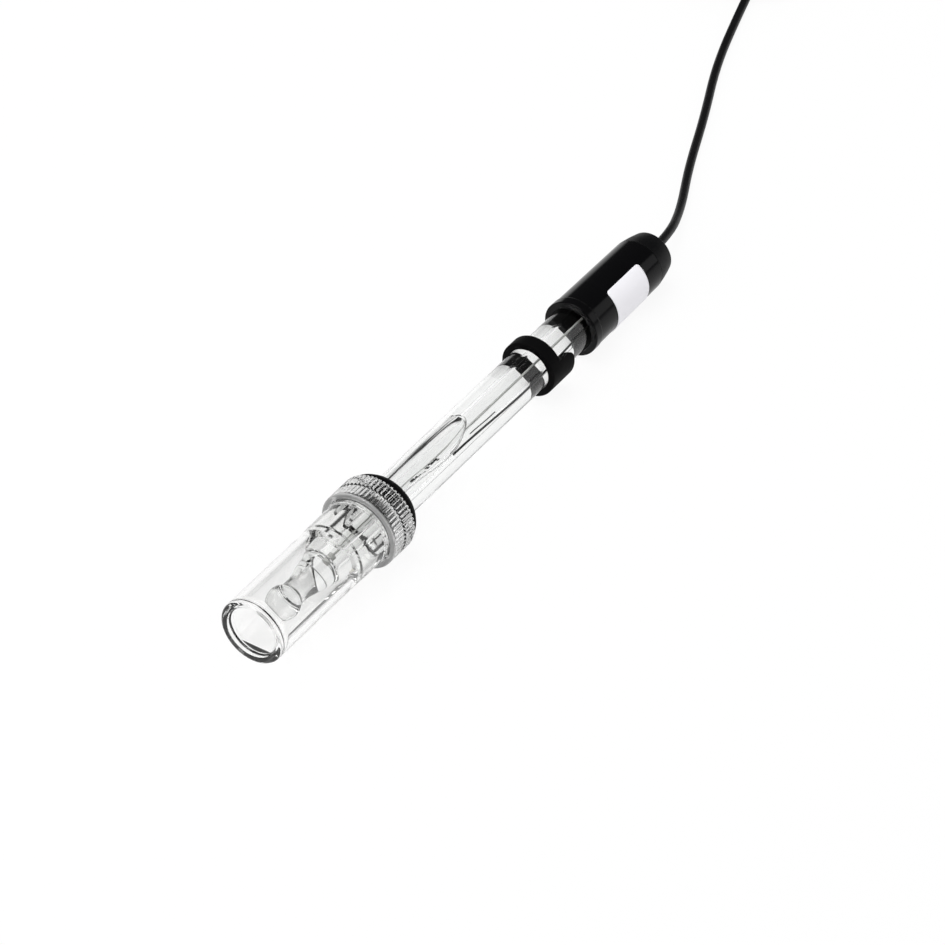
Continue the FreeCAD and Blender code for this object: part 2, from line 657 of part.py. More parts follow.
# Plug pieces, along their own axis from the cable's entry
def make_ferrule():
    body = new_body("plug_ferrule")
    turned(body, [
        ("0", "places.cable_bore / 2 + sizes.ferrule_lip"),
        ("0", "places.ferrule_od / 2"),
        ("sizes.ferrule_len", "places.ferrule_od / 2"),
        ("sizes.ferrule_len", "places.cable_bore / 2"),
        ("sizes.ferrule_lip", "places.cable_bore / 2"),
    ])
    return put_plug(body)


def put_plug(body):
    return set_by(body, "sizes.plug_x", "sizes.plug_y", "places.nut_od / 2")


def make_plug_body():
    body = new_body("plug_body")
    way = "sizes.pin_od / 2 + sizes.free_gap"
    turned(body, [
        ("places.body_rear", way),
        ("places.body_rear", "sizes.plug_body_od / 2 - sizes.plug_edge"),
        ("places.body_rear + sizes.plug_edge", "sizes.plug_body_od / 2"),
        ("places.waist_rear", "sizes.plug_body_od / 2"),
        ("places.waist_rear", "places.waist_od / 2"),
        ("places.waist_front", "places.waist_od / 2"),
        ("places.waist_front", "sizes.plug_body_od / 2"),
        ("places.keeper_front", "sizes.plug_body_od / 2"),
        ("places.keeper_front", "sizes.barrel_od / 2"),
        ("places.barrel_front - sizes.plug_edge", "sizes.barrel_od / 2"),
        ("places.barrel_front", "sizes.barrel_od / 2 - sizes.plug_edge / 2"),
        ("places.barrel_front", "places.barrel_bore / 2"),
        ("places.keeper_front", "places.barrel_bore / 2"),
        ("places.keeper_front", way),
    ])
    return put_plug(body)


# Bayonet nut: turns on the plug body's waist, with two tracks and lug holes
def make_nut():
    body = new_body("bayonet_nut")
    turned(body, [
        ("places.nut_rear", "places.nut_lip_bore / 2"),
        ("places.nut_rear", "places.nut_od / 2 - sizes.plug_edge"),
        ("places.nut_rear + sizes.plug_edge", "places.nut_od / 2"),
        ("places.nut_front - sizes.plug_edge", "places.nut_od / 2"),
        ("places.nut_front", "places.nut_od / 2 - sizes.plug_edge"),
        ("places.nut_front", "places.nut_bore / 2"),
        ("places.nut_lip_front", "places.nut_bore / 2"),
        ("places.nut_lip_front", "places.nut_lip_bore / 2"),
    ])
    track = plane_sketch(body, "YZ_Plane", "TrackOutline", base={"z": "places.nut_front"})
    outline(track, [
        ("places.nut_bore / 2 - sizes.track_depth", "-sizes.track_width / 2"),
        ("places.nut_bore / 2 + sizes.track_depth", "-sizes.track_width / 2"),
        ("places.nut_bore / 2 + sizes.track_depth", "sizes.track_width / 2"),
        ("places.nut_bore / 2 - sizes.track_depth", "sizes.track_width / 2"),
    ])
    first = cut(body, track, "sizes.track_len", "Track")
    all_round(body, first, "2", "Tracks")
    for side in (0, 180):
        angle = f"(sizes.track_turn + {side})"
        sketch = radial_sketch(
            body, "places.nut_front - sizes.nut_hole_back", angle, "places.nut_od / 2",
            "sizes.nut_hole", f"LugHoleOutline{side}")
        cut(body, sketch, "(places.nut_od - places.nut_bore) / 2", f"LugHole{side}")
    flute = plane_sketch(
        body, "YZ_Plane", "FluteOutline", base={"z": "places.nut_rear + sizes.flute_len"})
    outline(flute, [
        ("places.nut_od / 2 - sizes.flute_depth", "-sizes.flute_width / 4"),
        ("places.nut_od / 2 + sizes.flute_depth", "-sizes.flute_width"),
        ("places.nut_od / 2 + sizes.flute_depth", "sizes.flute_width"),
        ("places.nut_od / 2 - sizes.flute_depth", "sizes.flute_width / 4"),
    ])
    first = cut(body, flute, "sizes.flute_len", "Flute")
    all_round(body, first, "sizes.flute_count", "Flutes")
    return put_plug(body)


def make_insulator():
    body = new_body("plug_insulator")
    hole = "sizes.pin_od / 2 + sizes.seat_gap"
    turned(body, [
        ("places.keeper_front + sizes.seat_gap", hole),
        ("places.keeper_front + sizes.seat_gap", "places.barrel_bore / 2 - sizes.seat_gap"),
        ("places.insulator_front", "places.barrel_bore / 2 - sizes.seat_gap"),
        ("places.insulator_front", "sizes.insulator_nose_od / 2"),
        ("places.insulator_front + sizes.insulator_nose_len", "sizes.insulator_nose_od / 2"),
        ("places.insulator_front + sizes.insulator_nose_len", hole),
    ])
    return put_plug(body)


def make_pin():
    body = new_body("plug_pin")
    turned(body, [
        ("places.pin_low", "0"),
        ("places.pin_low", "sizes.pin_od / 2"),
        ("places.pin_high - sizes.pin_od / 2", "sizes.pin_od / 2"),
        ("places.pin_high", "0"),
    ], {2: ("sizes.pin_od / 2", False)})
    return put_plug(body)


# Cable coil: the outer shape of the wound turns, one closed solid
def make_coil():
    body = new_body("cable_coil")
    inner = "sizes.coil_mean / 2 - sizes.coil_columns * sizes.cable_od / 2"
    outer = "sizes.coil_mean / 2 + sizes.coil_columns * sizes.cable_od / 2"
    bevel = "sizes.cable_od / 3"
    turned(body, [
        (f"{inner} + {bevel}", "0"),
        (f"{outer} - {bevel}", "0"),
        (outer, bevel),
        (outer, f"places.coil_high - {bevel}"),
        (f"{outer} - {bevel}", "places.coil_high"),
        (f"{inner} + {bevel}", "places.coil_high"),
        (inner, f"places.coil_high - {bevel}"),
        (inner, bevel),
    ], axis="V_Axis", plane="XZ_Plane")
    return set_by(body, "sizes.coil_x", "sizes.coil_y", "0")


def on_axis(station):
    """A point of the electrode's axis on the bench."""
    tilt = math.radians(value("places.tilt"))
    along = value(station)
    return Vector(along * math.cos(tilt) - value("places.middle"), 0, value("places.lift") - along * math.sin(tilt))


def cord_tube(label, points, across):
    """A tube along straight runs joined by the largest tangent arcs that the runs allow."""
    edges, radii, start = [], [], points[0]
    for before, corner, after in zip(points, points[1:], points[2:]):
        into, out = (corner - before), (after - corner)
        shorter = min(into.Length, out.Length)
        into, out = into.normalize(), out.normalize()
        half = into.getAngle(out) / 2
        radius = 0.45 * shorter / math.tan(half)
        leave, join = corner - into * (0.45 * shorter), corner + out * (0.45 * shorter)
        centre = corner + (out - into).normalize() * (radius / math.cos(half))
        middle = centre + (corner - centre).normalize() * radius
        edges.append(Part.LineSegment(start, leave).toShape())
        edges.append(Part.Arc(leave, middle, join).toShape())
        radii.append(round(radius, 1))
        start = join
    edges.append(Part.LineSegment(start, points[-1]).toShape())
    path = Part.Wire(edges)
    section = Part.Wire(Part.Circle(points[0], points[1] - points[0], across / 2).toShape())
    solid = path.makePipeShell([section], True, False)
    expected = math.pi * across ** 2 / 4 * path.Length
    print(label, "length", round(path.Length, 1), "arc radii", radii, "volume ratio", round(solid.Volume / expected, 4))
    feature = doc.addObject("Part::Feature", label)
    feature.Label = label
    feature.Shape = solid
    return feature


# Cable from the head to the coil: out along the axis, down to the bench and away
CABLE_LEAD = 16.5
CABLE_ROUTE = [
    Vector(113.5, 6.0, 2.3),
    Vector(131.5, 14.6, 1.2),
    Vector(152.5, 22.6, 1.2),
    Vector(174.0, 32.0, 1.2),
    Vector(197.0, 39.0, 1.2),
    Vector(219.0, 44.6, 1.2),
]
# Tail from the coil's top turn to the plug
TAIL_ROUTE = [
    Vector(202.6, 54.4, 6.0),
    Vector(208.0, 45.4, 6.0),
    Vector(216.0, 35.5, 5.7),
    Vector(225.0, 31.5, 7.25),
]


def make_cable():
    first = on_axis("places.cable_start")
    ahead = first + (on_axis("places.collar_rear") - first).normalize() * CABLE_LEAD
    return cord_tube("cable", [first, ahead] + CABLE_ROUTE, value("sizes.cable_od"))


def make_tail():
    entry = Vector(value("sizes.plug_x"), value("sizes.plug_y"), value("places.nut_od") / 2)
    inside = entry + Vector(value("sizes.ferrule_len") * 0.7, 0, 0)
    return cord_tube("cable_tail", TAIL_ROUTE + [inside], value("sizes.cable_od"))


# Two insulated leads inside the head, from the wires' ends to the cable's end
def make_core_lead():
    length = "places.cable_start - places.wire_end - 2 * sizes.seat_gap"
    return axial_rod("core_lead", "places.wire_end + sizes.seat_gap", length, "0", "0", "sizes.lead_od")


def make_shield_lead():
    """A lead that runs in from the reference wire to lie beside the core lead."""
    angle = math.radians(value("sizes.reference_angle"))
    beside = value("sizes.lead_od + sizes.lead_apart")
    start, end = value("places.wire_end + sizes.seat_gap"), value("places.cable_start - sizes.seat_gap")
    step = (end - start) / 5
    wide = value("places.reference_radius")
    bends = [(start, wide), (start + step, wide), (end - 2 * step, beside), (end, beside)]
    points = [Vector(along, out * math.cos(angle), out * math.sin(angle)) for along, out in bends]
    return lay_down(cord_tube("shield_lead", points, value("sizes.lead_od")))


make_bottle()
make_cap()
make_gasket()
make_sealing_ring()
make_bulb()
make_tube()
make_junction()
make_stem()
make_measuring_wire()
axial_rod(
    "reference_wire", "places.reference_low", "places.wire_end - places.reference_low",
    "places.reference_radius", "sizes.reference_angle", "sizes.wire_od")
make_bung()
make_stopper()
make_sleeve()
make_head()
make_collar()
make_label()
make_core_lead()
make_shield_lead()
make_ferrule()
make_plug_body()
make_nut()
make_insulator()
make_pin()
make_coil()
make_cable()
make_tail()
doc.recompute()

NODES = [
    "soaker_bottle", "knurled_cap", "cap_gasket", "sealing_ring", "sensing_bulb", "outer_tube",
    "junction_plug", "inner_stem", "measuring_wire", "reference_wire", "tube_bung",
    "stem_stopper", "fill_sleeve", "head_shell", "head_collar", "head_label", "core_lead",
    "shield_lead", "plug_ferrule", "plug_body", "bayonet_nut", "plug_insulator", "plug_pin",
    "cable", "cable_coil", "cable_tail",
]
broken = [thing.Name for thing in doc.Objects if {"Invalid", "Error"} & set(thing.State)]
assert not broken, f"broken: {broken}"
os.makedirs("parts", exist_ok=True)
for name in NODES:
    node = doc.getObjectsByLabel(name)[0]
    shape = node.Shape
    assert not shape.isNull() and shape.isValid(), name + " is not a valid shape"
    shape.exportStep(f"parts/{name}.step")
    box = shape.BoundBox
    print(f"{name:16s} {shape.Volume:9.1f} mm3  x {box.XMin:7.2f} {box.XMax:7.2f}  y {box.YMin:6.2f} {box.YMax:6.2f}  z {box.ZMin:6.2f} {box.ZMax:6.2f}  solids {len(shape.Solids)}")
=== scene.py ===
"""Glass combination electrode in its soaker bottle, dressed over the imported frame.

Stations run along the electrode's axis from the foot of the bottle, radii are taken from that
axis, and angles turn about it from the bench's +Y, all in millimetres and radians here.
"""

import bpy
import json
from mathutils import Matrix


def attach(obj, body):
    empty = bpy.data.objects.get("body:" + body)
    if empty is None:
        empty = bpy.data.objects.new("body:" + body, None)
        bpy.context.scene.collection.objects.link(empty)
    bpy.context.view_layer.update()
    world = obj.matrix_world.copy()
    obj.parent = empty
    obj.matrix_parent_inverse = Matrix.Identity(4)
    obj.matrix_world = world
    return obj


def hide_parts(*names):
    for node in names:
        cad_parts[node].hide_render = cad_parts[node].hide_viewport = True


bl_info = {
    "name": "Glass combination electrode",
    "version": (1, 0, 0),
    "blender": (4, 5, 0),
    "location": "View3D > Sidebar > Electrode",
    "description": "Builds the glass electrode, its soaker bottle, cable and plug",
    "category": "Object",
}
import json
import math

import bpy
import numpy as np
from mathutils import Matrix

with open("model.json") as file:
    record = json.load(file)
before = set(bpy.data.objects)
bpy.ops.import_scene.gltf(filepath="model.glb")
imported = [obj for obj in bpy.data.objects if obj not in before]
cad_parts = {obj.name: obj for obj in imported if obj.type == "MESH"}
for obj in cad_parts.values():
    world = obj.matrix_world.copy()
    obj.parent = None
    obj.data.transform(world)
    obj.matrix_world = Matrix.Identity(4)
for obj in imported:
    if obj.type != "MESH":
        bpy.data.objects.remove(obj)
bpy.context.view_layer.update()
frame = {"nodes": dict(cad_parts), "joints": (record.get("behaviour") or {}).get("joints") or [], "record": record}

MM = 0.001
TURN = 2 * math.pi

# The electrode's own directions on the bench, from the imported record
joints = {joint["name"]: joint for joint in frame["joints"]}
mounts = {mount["name"]: mount for mount in frame["record"]["mounts"]}
ALONG = -np.array(joints["bottle_draw"]["axis"], float)
ALONG = ALONG / np.linalg.norm(ALONG)
ACROSS = np.array([0.0, 1.0, 0.0])
UPWARD = np.cross(ALONG, ACROSS)
FOOT = np.array(mounts["bottle_foot"]["pos_m"], float) * [1, 0, 1]
TILT = math.atan2(-ALONG[2], ALONG[0])
PLUG = np.array([226.5, 31.5, 7.25])

# Radii and stations of the glass and its bottle that several pieces share, in millimetres
BULB_MIDDLE, BULB_OUTSIDE, BULB_INSIDE = 12.6, 4.35, 3.95
NECK_OUTSIDE, NECK_INSIDE = 3.2, 2.5
CONE_FOOT, CONE_TOP = 19.05, 31.6
TUBE_OUTSIDE, TUBE_INSIDE, TUBE_END = 6.0, 5.0, 150.05
STEM_OUTSIDE, STEM_INSIDE = 2.4, 1.7
BORE, FLOOR = 7.3, 2.2
THREAD_PITCH = 1.8
WIRE_START, WIRE_END = 79.95, 158.05
HOLE_STATION, HOLE_ANGLE = 128.1, math.radians(202)

# Shapes

def bench(station, radius, angle):
    """Bench points in metres: foot + station along the axis + radius at that angle round it."""
    station, radius, angle = np.broadcast_arrays(station, radius, angle)
    across = (radius * np.cos(angle))[..., None] * ACROSS
    upward = (radius * np.sin(angle))[..., None] * UPWARD
    return FOOT + MM * (station[..., None] * ALONG + across + upward)


def bench_grid(station, across, upward):
    """Bench points in metres: foot + station along the axis + across and upward from it."""
    return FOOT + MM * (station[..., None] * ALONG + across[..., None] * ACROSS + upward[..., None] * UPWARD)


def plug_bench(station, radius, angle):
    """Bench points in metres of the plug: its own axis lies along the bench's +X."""
    station, radius, angle = np.broadcast_arrays(station, radius, angle)
    parts = [station, radius * np.cos(angle), radius * np.sin(angle)]
    return MM * (PLUG + np.stack(parts, -1))


def smooth(share):
    """0 below 0, 1 above 1 and 3t^2 - 2t^3 between them."""
    t = np.clip(share, 0, 1)
    return t * t * (3 - 2 * t)


def eased(corners, steps=5):
    """A profile through corners (station, radius, ease), closed from the last to the first.

    An eased corner c becomes the parabola (1-t)^2 a + 2t(1-t) c + t^2 b between the points a
    and b that lie ease away from it on its two sides, with one more point outside each.
    """
    parts = []
    for i, (station, radius, ease) in enumerate(corners):
        here = np.array([station, radius], float)
        if not ease:
            parts.append(here[None])
            continue
        sides = [np.array(corners[j % len(corners)][:2], float) - here for j in (i - 1, i + 1)]
        sides = [side / np.linalg.norm(side) for side in sides]
        t = np.linspace(0, 1, steps)[:, None]
        a, b = (here + side * ease for side in sides)
        arc = (1 - t) ** 2 * a + 2 * t * (1 - t) * here + t ** 2 * b
        parts += [(a + sides[0] * ease * 0.2)[None], arc, (b + sides[1] * ease * 0.2)[None]]
    return np.vstack(parts)


def refined(profile, step, inside):
    """The profile with the sides whose middle is inside cut into pieces of about that step."""
    parts = []
    for here, there in zip(profile, profile[1:]):
        length = np.linalg.norm(there - here)
        count = int(length // step) + 1 if inside(*(here + there) / 2) else 1
        parts.append(here + (there - here) * np.arange(count)[:, None] / count)
    return np.vstack(parts + [profile[-1:]])


def turned(profile, columns=192, change=None, place=bench):
    """A profile's rows turned about the axis: point (i, j) has profile i and angle j/columns.

    change gives new stations and radii for the arrays of stations, radii and angles.
    """
    angle = np.linspace(0, TURN, columns, endpoint=False)[None]
    station, radius = profile[:, :1], profile[:, 1:2]
    if change:
        station, radius = change(station, radius, angle)
    return place(station, radius, angle)


def skin(grid, ring=True):
    """Points and faces of a grid whose columns join up. Its rows join up too if it is a ring,
    and otherwise the first and last rows close on their mean points."""
    rows, columns = grid.shape[:2]
    points = grid.reshape(-1, 3)
    index = np.arange(rows * columns).reshape(rows, columns)
    low, high = (index, np.roll(index, -1, 0)) if ring else (index[:-1], index[1:])
    quads = np.stack([low, np.roll(low, -1, 1), np.roll(high, -1, 1), high], -1).reshape(-1, 4)
    faces = quads.tolist()
    if not ring:
        points = np.vstack([points, grid[0].mean(0), grid[-1].mean(0)])
        first, last = index[0], index[-1]
        lids = [
            np.stack([np.roll(first, -1), first, np.full(columns, len(points) - 2)], -1),
            np.stack([last, np.roll(last, -1), np.full(columns, len(points) - 1)], -1),
        ]
        faces += np.vstack(lids).tolist()
    corners = np.array([face[:3] for face in faces])
    fourth = quads[:, [0, 2, 3]]
    from_foot = points - FOOT
    volume = sum(
        np.einsum("ij,ij->", from_foot[t[:, 0]], np.cross(from_foot[t[:, 1]], from_foot[t[:, 2]]))
        for t in (corners, fourth)
    )
    if volume < 0:
        faces = [face[::-1] for face in faces]
    return points, faces


def piece(name, shape, finish, body, slot, *nodes):
    """A mesh object of that name and finish, which rides on the body and stands for the nodes."""
    points, faces = shape
    mesh = bpy.data.meshes.new(name)
    mesh.from_pydata(points.tolist(), [], faces)
    mesh.validate()
    mesh.polygons.foreach_set("use_smooth", np.ones(len(mesh.polygons), bool))
    mesh.materials.append(finish)
    made = bpy.data.objects.new(name, mesh)
    bpy.context.scene.collection.objects.link(made)
    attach(made, body)
    if nodes:
        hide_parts(*nodes)
    return made


def joined(shapes):
    """Several shapes as one."""
    points, faces, count = [], [], 0
    for some, their in shapes:
        points.append(some)
        faces += [[i + count for i in face] for face in their]
        count += len(some)
    return np.vstack(points), faces


def drilled(target, middle, sideways, outward, radius, low, high):
    """Cuts a round hole in a piece, along outward from low to high: rings of that radius about
    middle + height * outward, where cos goes along sideways and sin along what is square to both."""
    turn = np.linspace(0, TURN, 32, endpoint=False)[None, :, None]
    ring = radius * (np.cos(turn) * sideways + np.sin(turn) * np.cross(sideways, outward))
    points, faces = skin(middle + MM * (np.array([low, high])[:, None, None] * outward + ring), False)
    mesh = bpy.data.meshes.new("drill")
    mesh.from_pydata(points.tolist(), [], faces)
    drill = bpy.data.objects.new("drill", mesh)
    bpy.context.scene.collection.objects.link(drill)
    cut = target.modifiers.new("hole", "BOOLEAN")
    cut.operation, cut.solver, cut.object = "DIFFERENCE", "EXACT", drill
    made = bpy.data.meshes.new_from_object(target.evaluated_get(bpy.context.evaluated_depsgraph_get()))
    target.modifiers.clear()
    bpy.data.objects.remove(drill)
    if len(made.polygons) == len(target.data.polygons):
        raise RuntimeError("no hole was cut in " + target.name)
    target.data = made


def thread(station, angle, low, high, share):
    """A screw thread's height from 0 to 1: cos of the turns' phase, faded in at both ends."""
    wave = np.cos(TURN * (station / THREAD_PITCH - angle / TURN + share))
    fade = smooth((station - low) / 1.2) * smooth((high - station) / 1.2)
    return np.clip(wave, 0, 1) ** 0.8 * fade


# Finishes

class Field:
    """One socket of a material's node tree. Arithmetic on it adds Math nodes."""

    def __init__(self, tree, socket=None):
        self.tree, self.socket = tree, socket

    def node(self, kind, values=None, output=0, stops=None, **settings):
        """A new node: its settings first, then its sockets' values or links."""
        made = self.tree.nodes.new(kind)
        for key, setting in settings.items():
            setattr(made, key, setting)
        if stops:
            ramp = made.color_ramp.elements
            while len(ramp) < len(stops):
                ramp.new(0.5)
            for element, (spot, tone) in zip(ramp, stops):
                element.position, element.color = spot, (tone, tone, tone, 1)
        for key, given in (values or {}).items():
            if isinstance(given, Field):
                self.tree.links.new(made.inputs[key], given.socket)
            else:
                made.inputs[key].default_value = given
        return Field(self.tree, made.outputs[output])

    def other(self, key):
        """Another output of the same node."""
        return Field(self.tree, self.socket.node.outputs[key])

    def maths(self, operation, *terms):
        return self.node("ShaderNodeMath", dict(enumerate(terms)), operation=operation)

    def __add__(self, other):
        return self.maths("ADD", self, other)

    __radd__ = __add__

    def __mul__(self, other):
        return self.maths("MULTIPLY", self, other)

    __rmul__ = __mul__

    def __sub__(self, other):
        return self.maths("SUBTRACT", self, other)

    def __rsub__(self, other):
        return self.maths("SUBTRACT", other, self)

    def __pow__(self, other):
        return self.maths("POWER", self, other)

    def __lt__(self, other):
        return self.maths("LESS_THAN", self, other)

    def __gt__(self, other):
        return self.maths("GREATER_THAN", self, other)

    def between(self, low, high):
        """0 below low, 1 above high, and a straight ramp between them."""
        values = {"Value": self, "From Min": low, "From Max": high}
        return self.node("ShaderNodeMapRange", values, clamp=True)

    def mix(self, one, other):
        """Colour one where this is 0 and the other where it is 1."""
        return self.node("ShaderNodeMix", {0: self, 6: one, 7: other}, 2, data_type="RGBA")

    def shade(self, one, other):
        """Shader one where this is 0 and the other where it is 1."""
        return self.node("ShaderNodeMixShader", {0: self, 1: one, 2: other})


def colour(red, green=None, blue=None):
    return (red, red if green is None else green, red if blue is None else blue, 1.0)


class Spots:
    """The coordinates that finishes read: bench metres, and millimetres along the axis."""

    def __init__(self, field):
        self.field = field
        self.bench = field.node("ShaderNodeTexCoord", output="Object")
        turned_foot = np.array([
            FOOT @ ALONG, FOOT @ ACROSS, FOOT @ UPWARD]) / MM
        self.local = field.node("ShaderNodeMapping", {
            "Vector": self.bench, "Location": tuple(-turned_foot),
            "Rotation": (0, -TILT, 0), "Scale": (1 / MM,) * 3}, vector_type="POINT")
        parts = field.node("ShaderNodeSeparateXYZ", {0: self.local})
        self.station = parts
        self.across = parts.other(1)
        self.upward = parts.other(2)
        squares = self.across * self.across + self.upward * self.upward
        self.radius = squares ** 0.5

    def height(self):
        """Metres above the bench."""
        return self.field.node("ShaderNodeSeparateXYZ", {0: self.bench}).other(2)

    def noise(self, scale, stretch=(1, 1, 1), detail=2.0, where=None):
        """Noise with that many waves a millimetre, from 0 to 1, stretched by axis."""
        spread = self.field.node("ShaderNodeMapping", {
            "Vector": where or self.local, "Scale": tuple(scale * s for s in stretch)})
        return self.field.node("ShaderNodeTexNoise", {
            "Vector": spread, "Scale": 1.0, "Detail": detail}, normalize=True)


def finish(name, paint):
    """A material whose shader paint makes from a field and its coordinates."""
    made = bpy.data.materials.new(name)
    made.use_nodes = True
    tree = made.node_tree
    tree.nodes.clear()
    field = Field(tree)
    shader = paint(field, Spots(field))
    output = tree.nodes.new("ShaderNodeOutputMaterial")
    tree.links.new(output.inputs["Surface"], shader.socket)
    return made


def principled(field, **values):
    names = {key.replace("_", " "): given for key, given in values.items()}
    return field.node("ShaderNodeBsdfPrincipled", names)


def bumped(field, height, strength, distance=0.00005):
    return field.node("ShaderNodeBump", {
        "Height": height, "Strength": strength, "Distance": distance})


def lamp_clear(field, shader, tint, deep=9, side=None):
    """The shader, but clear to lamps' shadow rays, so that light passes the glass, and clear
    to rays that have met that many surfaces before, so that none ends inside it. Where side is
    1, it is clear to rays that have been mirrored often too."""
    path = field.node("ShaderNodeLightPath", output="Is Shadow Ray")
    depth, mirrored = path.other("Ray Depth"), path.other("Glossy Depth")
    clear = field.node("ShaderNodeBsdfTransparent", {"Color": colour(*tint)})
    ended = depth > deep
    if side:
        ended = field.maths("MAXIMUM", ended, (mirrored > 3) * side)
    return field.maths("MAXIMUM", path, ended).shade(shader, clear)


def clear_finish(name, tint, dry, wet=None, where_wet=None, rough=0.0, wave=None, speck=0.0, deep=9,
                 moulded=None, painted_edge_shade_below=0):
    """See-through stuff: dry and wet are its index against air and against the liquid.

    moulded is how milky the cap's front is, and a moulded piece has painted shade in its parting groove too.
    The last argument, when given, is the station below which the glass gets painted edge shade: two
    thin dark outlines by the angle the surface faces, in place of the dark lines refraction draws at its rims.
    """
    def paint(field, spots):
        streaks = spots.noise(0.35, wave or (0.15, 1, 1), 3)
        normal = bumped(field, streaks, 0.14 if wave else 0.08, 0.00004)
        haze = rough + spots.noise(1.3) * speck
        front = (1 - spots.station.between(44.9, 45.4)) * (spots.radius > 9.2)
        if moulded:
            haze = haze + front * 0.2
        base = colour(*tint)
        if painted_edge_shade_below:
            # Painted shade: base colour darkened towards grey at grazing angles, standing in for refraction's dark
            # edge lines.
            facing = field.node("ShaderNodeLayerWeight", {"Blend": 0.5}, 1)
            painted_inner_edge_shade = facing.between(0.46, 0.51) - facing.between(0.53, 0.58)
            painted_edge_shade = (facing.between(0.64, 0.74) + painted_inner_edge_shade * 0.6) * (spots.station < painted_edge_shade_below)
            base = painted_edge_shade.mix(base, colour(0.3))
        looks = {"Base_Color": base, "Roughness": haze, "Transmission_Weight": 1.0, "Normal": normal}
        shader = principled(field, IOR=dry, **looks)
        if moulded:
            milk = principled(field, Base_Color=colour(0.97), Roughness=0.4, Specular_IOR_Level=0.3)
            # Painted shade: the parting groove's plastic is coloured near-black, as if shade fell in the recess.
            shadow = principled(field, Base_Color=colour(0.01), Roughness=0.5)
            painted_groove_shade = (spots.station > 49.2) * (spots.station < 49.7) * (spots.radius > 10.1)
            shader = (painted_groove_shade * 0.85).shade((front * moulded).shade(shader, milk), shadow)
        if where_wet:
            shader = where_wet(spots).shade(shader, principled(field, IOR=wet, **looks))
        side = None
        if moulded is not None:
            side = spots.upward * 0.848 - spots.across * 0.53 > -1.0
        return lamp_clear(field, shader, tint, deep, side)
    return finish(name, paint)


def solid_finish(name, tone, rough, metal=0.0, grain=0.15, size=2.0, bump=0.1, coat=0.0, gloss=0.5):
    """Opaque stuff with small changes of colour, roughness and surface at that grain size."""
    def paint(field, spots):
        fine = spots.noise(size, detail=4)
        broad = spots.noise(size / 9, detail=2)
        darker = colour(*(part * (1 - grain) for part in tone))
        lighter = colour(*(min(1.0, part * (1 + grain)) for part in tone))
        return principled(
            field, Base_Color=(fine * 0.6 + broad * 0.4).mix(darker, lighter),
            Roughness=rough * (1 - grain) + broad * (rough * grain * 2), Metallic=metal,
            Specular_IOR_Level=gloss, Coat_Weight=coat, Coat_Roughness=0.08,
            Normal=bumped(field, fine, bump))
    return finish(name, paint)


FILM = (32.3, 44.55)   # stations between which the screw joint holds a film of liquid
BUBBLE_FRONT = 31.6    # station where the long bubble in the shaft begins


def sizes():
    """The sizes that the panel shows, in metres."""
    return bpy.context.scene.electrode_sizes


def in_storage(spots):
    """1 where plastic or glass touches the storage liquid, or its film in the screw joint."""
    below = spots.height() < sizes().storage_level
    pool = (spots.radius < BORE + 0.3) * (spots.station < FILM[0]) * (spots.station > FLOOR - 0.4) * below
    film = (spots.radius < 8.4) * (spots.station > FILM[0]) * (spots.station < FILM[1])
    return spots.field.maths("MAXIMUM", pool, film)


def glass_wet(spots):
    """1 where the shaft's glass touches liquid: storage liquid outside, electrolyte inside."""
    maths, station = spots.field.maths, spots.station
    wall_middle = (BULB_OUTSIDE + BULB_INSIDE) / 2
    cone = 2.85 + station.between(CONE_FOOT, 31.0) * 2.65
    reach = station - BULB_MIDDLE
    ball = maths("SQRT", maths("MAXIMUM", wall_middle ** 2 - reach * reach, 0.0))
    middle = maths("MAXIMUM", (station < 17.0) * ball, cone * (station > 15.5))
    inner = spots.radius < middle
    rise = 4.05 - 0.8 * (station.between(62, 76) - station.between(78, 90))
    bubble_end = sizes().bubble_end / MM
    dry = (station > BUBBLE_FRONT + 1) * (station < bubble_end - 1) * (spots.upward > rise)
    return maths("MAXIMUM", inner * (1 - dry), (1 - inner) * in_storage(spots))


finishes = {}


